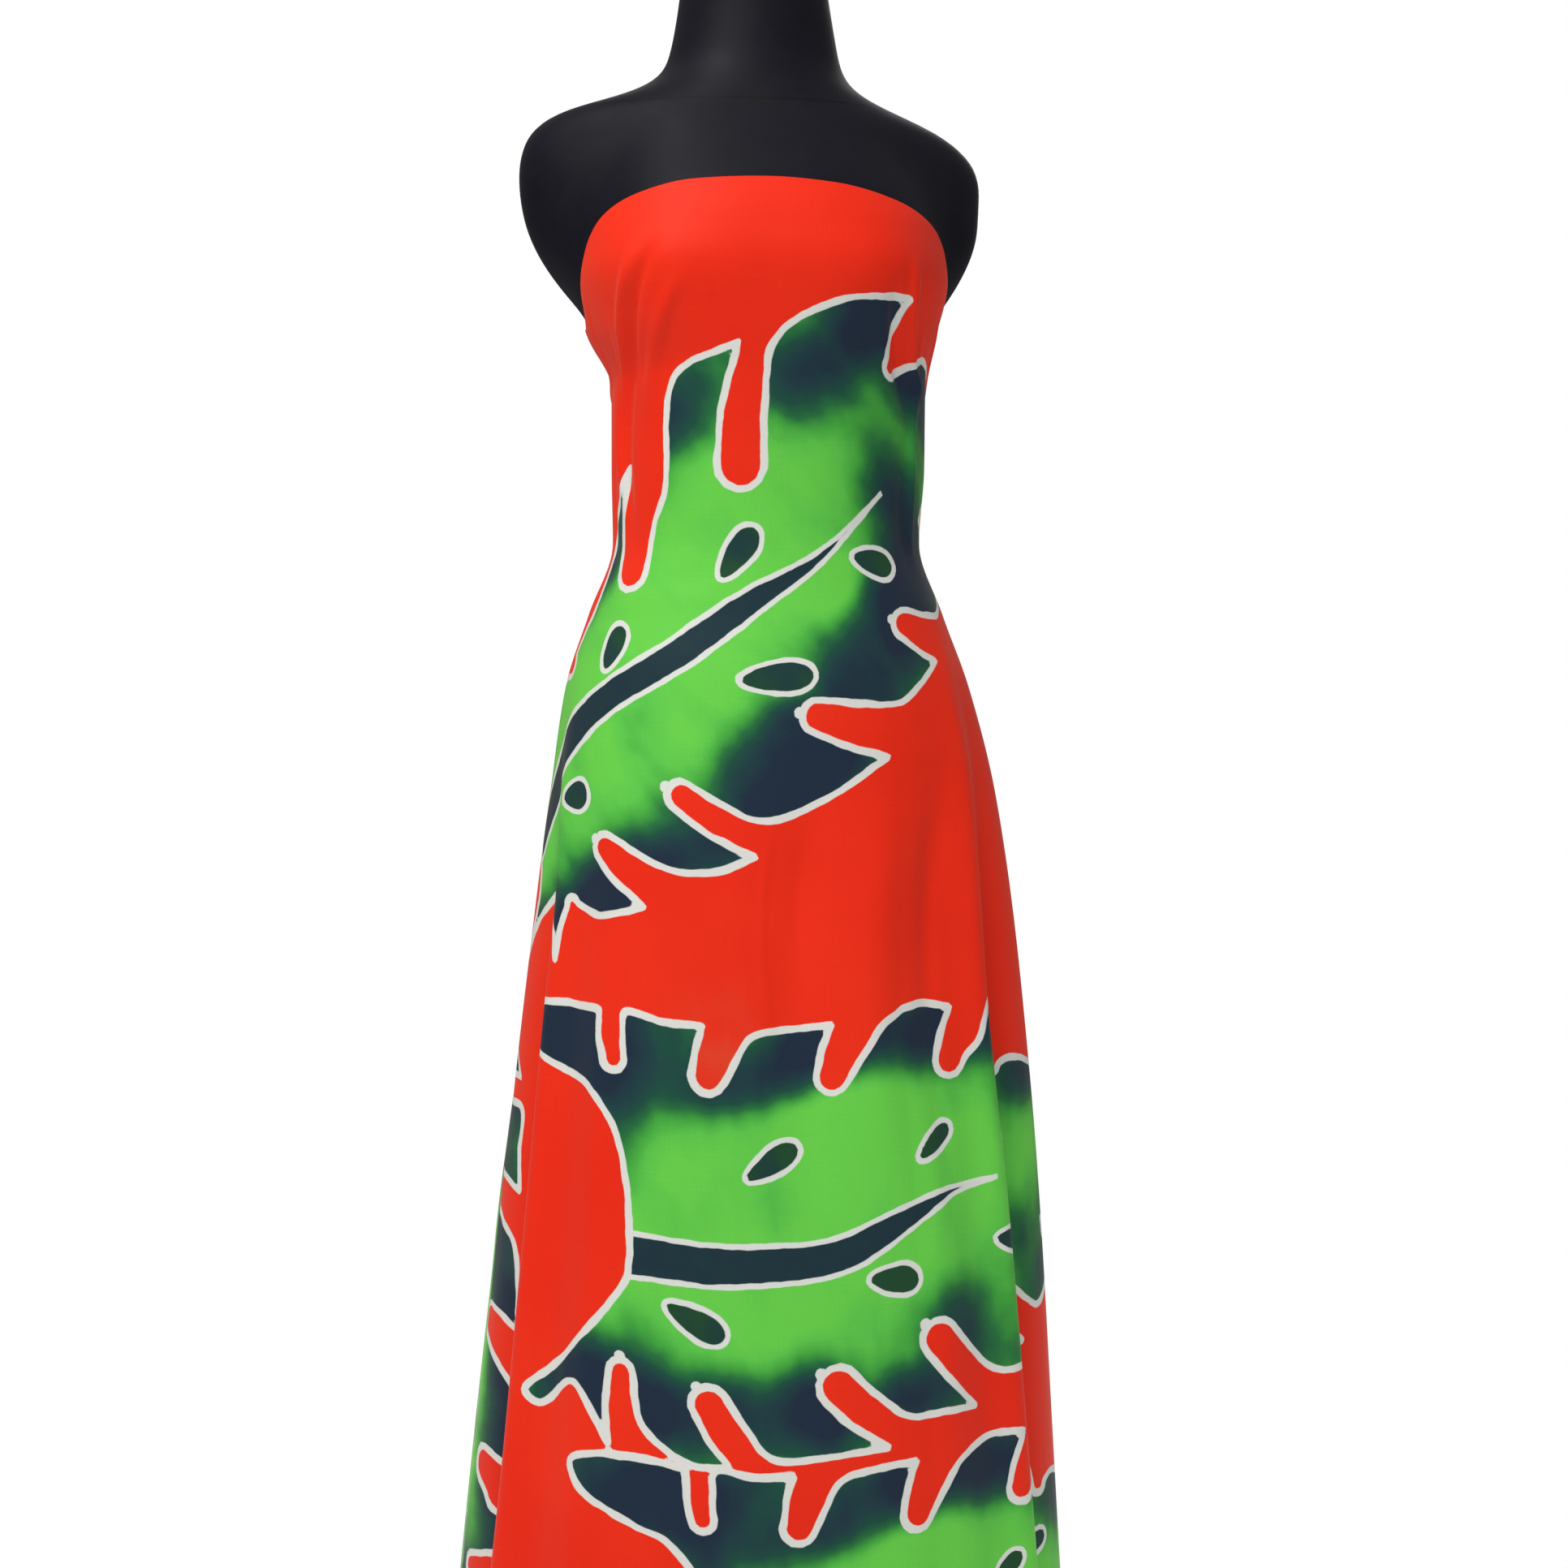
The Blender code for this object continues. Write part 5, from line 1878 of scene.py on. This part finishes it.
class Stand:
    """The form's turned metal stand, on the sizes of the CAD nodes."""

    def build(self, finishes: Finishes) -> dict[str, bpy.types.Object]:
        """Build each piece of the stand.

        Args:
            finishes: The materials.

        Returns:
            Pieces by the name of the CAD node each stands for.
        """
        made = {}
        for node, width in STAND_BEVELS:
            low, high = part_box(node)
            made[node] = Workshop.drum(low.z, high.z, 0.5 * (high.x - low.x), 96, width)
        made["stand_hub"] = self.hub()
        return {node: Workshop.settle(piece, f"{node}_look", finishes.metal) for node, piece in made.items()}

    @staticmethod
    def hub() -> bpy.types.Object:
        """Turn the hub: a straight foot that narrows to the pole.

        Returns:
            The hub.
        """
        low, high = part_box("stand_hub")
        radius = 0.5 * (high.x - low.x)
        size = high.z - low.z
        foot = HUB_FOOT * size
        bpy.ops.mesh.primitive_cylinder_add(
            vertices=64, radius=radius, depth=foot, location=(0.0, 0.0, low.z + 0.5 * foot))
        piece = bpy.context.object
        Workshop.only(piece)
        bpy.ops.object.transform_apply(location=True, rotation=True, scale=True)
        bpy.ops.object.mode_set(mode="EDIT")
        bpy.ops.mesh.select_mode(type="FACE")
        bpy.ops.mesh.select_all(action="DESELECT")
        bpy.ops.object.mode_set(mode="OBJECT")
        for face in piece.data.polygons:
            face.select = face.normal.z > UPWARD
        bpy.ops.object.mode_set(mode="EDIT")
        bpy.ops.mesh.extrude_region_move(TRANSFORM_OT_translate={"value": (0.0, 0.0, size - foot)})
        bpy.ops.transform.resize(
            value=(HUB_NARROW, HUB_NARROW, 1.0), center_override=(0.0, 0.0, low.z + size))
        bpy.ops.object.mode_set(mode="OBJECT")
        Workshop.bevel(piece, HUB_BEVEL)
        return piece


class Form:
    """The black dress form: a smoothed torso and its neck cap."""

    def build(self, nodes: dict[str, bpy.types.Object], finishes: Finishes) -> dict[str, bpy.types.Object]:
        """Build the torso and the cap.

        Args:
            nodes: The CAD nodes.
            finishes: The materials.

        Returns:
            Pieces by the name of the CAD node each stands for.
        """
        return {"form_torso": self.torso(nodes["form_torso"], finishes), "form_neck_cap": self.cap(finishes)}

    @staticmethod
    def torso(node: bpy.types.Object, finishes: Finishes) -> bpy.types.Object:
        """Smooth a copy of the CAD torso.

        Args:
            node: The CAD torso.
            finishes: The materials.

        Returns:
            The torso.
        """
        Workshop.only(node)
        bpy.ops.object.duplicate()
        piece = bpy.context.object
        bpy.ops.object.parent_clear(type="CLEAR_KEEP_TRANSFORM")
        for key in list(piece.keys()):
            del piece[key]
        piece.data.materials.clear()
        bpy.ops.object.mode_set(mode="EDIT")
        bpy.ops.mesh.select_all(action="SELECT")
        bpy.ops.mesh.remove_doubles(threshold=MERGE_GAP)
        bpy.ops.mesh.customdata_custom_splitnormals_clear()
        bpy.ops.mesh.tris_convert_to_quads(face_threshold=JOIN_ANGLE, shape_threshold=JOIN_ANGLE)
        bpy.ops.mesh.select_all(action="DESELECT")
        bpy.ops.mesh.select_mode(type="EDGE")
        bpy.ops.mesh.edges_select_sharp(sharpness=CREASE_ANGLE)
        bpy.ops.transform.edge_crease(value=1.0)
        bpy.ops.object.mode_set(mode="OBJECT")
        bpy.ops.object.modifier_add(type="SUBSURF")
        piece.modifiers[-1].levels = 2
        bpy.ops.object.modifier_apply(modifier=piece.modifiers[-1].name)
        bpy.ops.object.shade_smooth()
        return Workshop.settle(piece, "form_torso_look", finishes.jersey)

    @staticmethod
    def cap(finishes: Finishes) -> bpy.types.Object:
        """Turn the domed neck cap.

        Args:
            finishes: The materials.

        Returns:
            The cap.
        """
        low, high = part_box("form_neck_cap")
        middle = 0.5 * (low + high)
        size = high - low
        bpy.ops.mesh.primitive_cylinder_add(vertices=64, radius=0.5, depth=1.0, location=middle)
        piece = bpy.context.object
        bpy.ops.transform.resize(value=(size.x, size.y, size.z), center_override=middle)
        Workshop.only(piece)
        bpy.ops.object.transform_apply(location=False, rotation=True, scale=True)
        Workshop.bevel(piece, CAP_BEVEL, 6)
        return Workshop.settle(piece, "form_neck_cap_look", finishes.cap)


class Pins:
    """Ball-headed pins along the lap's edge."""

    def build(self, nodes: dict[str, bpy.types.Object], finishes: Finishes) -> dict[str, bpy.types.Object]:
        """Build each pin where its CAD node lies.

        Args:
            nodes: The CAD nodes.
            finishes: The materials.

        Returns:
            Pieces by the name of the CAD node each stands for.
        """
        made = {}
        for name in sorted(name for name in nodes if name.startswith("back_pin")):
            corners = np.array([vertex.co for vertex in nodes[name].data.vertices])
            tip = corners[np.argmax(np.linalg.norm(corners - corners.mean(axis=0), axis=1))]
            back = corners[np.argmax(np.linalg.norm(corners - tip, axis=1))]
            length = float(np.linalg.norm(tip - back))
            run = Vector((tip - back) / length)
            turn = run.to_track_quat("Z", "Y").to_euler()
            head = Vector(back) + run * PIN_BALL
            bpy.ops.mesh.primitive_uv_sphere_add(
                segments=32, ring_count=20, radius=PIN_BALL, location=head, rotation=turn)
            ball = bpy.context.object
            ball.data.materials.append(finishes.pearl)
            bpy.ops.object.shade_smooth()
            middle = Vector(back) + run * (0.5 * (PIN_START + length - PIN_POINT))
            bpy.ops.mesh.primitive_cylinder_add(
                vertices=16, radius=PIN_RADIUS, depth=length - PIN_START - PIN_POINT, location=middle,
                rotation=turn)
            shaft = bpy.context.object
            bpy.ops.mesh.primitive_cone_add(
                vertices=16, radius1=PIN_RADIUS, radius2=PIN_END, depth=PIN_POINT,
                location=Vector(tip) - run * (0.5 * PIN_POINT), rotation=turn)
            point = bpy.context.object
            for part in (shaft, point):
                part.data.materials.append(finishes.steel)
            bpy.ops.object.select_all(action="DESELECT")
            for part in (point, shaft, ball):
                part.select_set(True)
            bpy.context.view_layer.objects.active = ball
            bpy.ops.object.join()
            made[name] = Workshop.settle(ball, f"{name}_look", finishes.pearl)
        return made


@dataclass(frozen=True)
class Lamp:
    """A soft square light: where it hangs, its side in metres and its power in watts."""

    name: str
    place: tuple[float, float, float]
    size: float
    power: float
    colour: Colour


LAMPS = (
    Lamp("key", (-1.15, -1.50, 3.20), 1.3, 71.0, (1.0, 0.985, 0.96)),
    Lamp("fill", (0.50, -2.60, 1.50), 1.8, 7.5, (0.97, 0.985, 1.0)),
    Lamp("back", (0.60, 2.10, 2.30), 1.6, 12.0, (1.0, 1.0, 1.0)),
)
LAMP_AIM = (0.0, 0.0, 0.80)
CAMERA_AT = (-0.2509, -2.3869, 0.785)
CAMERA_TURN = (math.radians(90.0), 0.0, math.radians(-6.0))
CAMERA_LENS = 66.74
CAMERA_SENSOR = 36.0
CAMERA_SHIFT = 0.01915
CAMERA_CLIP = 0.05
FLOOR_RADIUS = 3.0
SKY_EDGE = (-0.2, 0.9)
SKY_SPAN = 0.40
SKY_LEAST = 0.07
"""Camera in metres and millimetres, and how the white surround lights the cloth."""


class Studio:
    """Camera, lights, floor and white surround."""

    def build(self, finishes: Finishes) -> None:
        """Set the stage.

        Args:
            finishes: The materials.
        """
        self.camera()
        self.world()
        for lamp in LAMPS:
            self.light(lamp)
        bpy.ops.mesh.primitive_circle_add(
            vertices=128, radius=FLOOR_RADIUS, fill_type="NGON", location=(0.0, 0.0, 0.0))
        floor = bpy.context.object
        floor.name = "studio_floor"
        floor.data.materials.append(finishes.floor)
        bpy.context.scene.view_settings.view_transform = "Standard"
        bpy.context.scene.view_settings.look = "None"

    @staticmethod
    def camera() -> None:
        """Place the camera as the picture was taken, about level with the hips."""
        bpy.ops.object.camera_add(location=CAMERA_AT, rotation=CAMERA_TURN)
        camera = bpy.context.object
        camera.data.lens = CAMERA_LENS
        camera.data.sensor_width = CAMERA_SENSOR
        camera.data.shift_x = CAMERA_SHIFT
        camera.data.clip_start = CAMERA_CLIP
        bpy.context.scene.camera = camera

    @staticmethod
    def light(lamp: Lamp) -> None:
        """Hang a soft square light that looks at the cloth.

        Args:
            lamp: The light.
        """
        turn = (Vector(LAMP_AIM) - Vector(lamp.place)).to_track_quat("-Z", "Y").to_euler()
        bpy.ops.object.light_add(type="AREA", location=lamp.place, rotation=turn)
        light = bpy.context.object
        light.name = lamp.name
        light.data.size = lamp.size
        light.data.energy = lamp.power
        light.data.color = lamp.colour

    @staticmethod
    def world() -> None:
        """White to the camera and softer to the cloth."""
        world = bpy.data.worlds.new("white_surround")
        bpy.context.scene.world = world
        world.use_nodes = True
        world.node_tree.nodes.clear()
        shader = Shader(world.node_tree)
        path = shader.add("ShaderNodeLightPath")
        way = shader.add("ShaderNodeTexCoord").outputs["Generated"]
        parts = shader.feed(shader.add("ShaderNodeSeparateXYZ"), Vector=way)
        sky = shader.calc("MULTIPLY_ADD", shader.step(parts.outputs[2], *SKY_EDGE), SKY_SPAN, SKY_LEAST)
        level = shader.calc("MAXIMUM", path.outputs["Is Camera Ray"], sky)
        background = shader.add("ShaderNodeBackground")
        shader.feed(background, Color=(1.0, 1.0, 1.0), Strength=level)
        output = shader.add("ShaderNodeOutputWorld")
        shader.tree.links.new(background.outputs[0], output.inputs[0])


def stretch_cuts(wrap: Wrap) -> list[StretchCut]:
    """List the stretches of the cloth.

    Args:
        wrap: The wound cloth.

    Returns:
        Their columns and cut sizes.
    """
    last = wrap.points.shape[1] - 1
    left, right = wrap.cuts
    return [
        StretchCut("cloth_left", 0, left, 0.555, 1.130, 0.440, -0.060),
        StretchCut("cloth_front", left, right, 0.555, 1.185, 0.505, 0.0),
        StretchCut("cloth_right", right, last, 0.545, 1.130, 0.455, 0.0),
    ]


def main() -> None:
    """Build the whole scene on the frame."""
    logging.basicConfig(level=logging.INFO, format="%(message)s")
    for item in list(bpy.data.objects):
        bpy.data.objects.remove(item)
    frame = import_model()
    nodes = frame["nodes"]
    finishes = Finishes()
    wrap = Drape().wrap(WrapPlan())
    batik = BatikPrint()
    pieces = {}
    for cut in stretch_cuts(wrap):
        part = slice(cut.first, cut.last + 1)
        u, v = wrap.u[:, part], wrap.v[:, part]
        fields = batik.paint(u + cut.tuck * ramp((v - TUCK_FROM) / TUCK_RUN), v)
        pieces[cut.name] = Stretch(cut, wrap, fields).build(finishes.batik)
    sheets = dict(pieces)
    pieces.update(Form().build(nodes, finishes))
    pieces.update(Stand().build(finishes))
    pieces.update(Pins().build(nodes, finishes))
    for node, piece in pieces.items():
        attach(piece, "root")
        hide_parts(node)
    for cut in stretch_cuts(wrap):
        piece = sheets[cut.name]
        piece.name = f"{cut.name}_look"
    Studio().build(finishes)


if __name__ == "__main__":
    main()
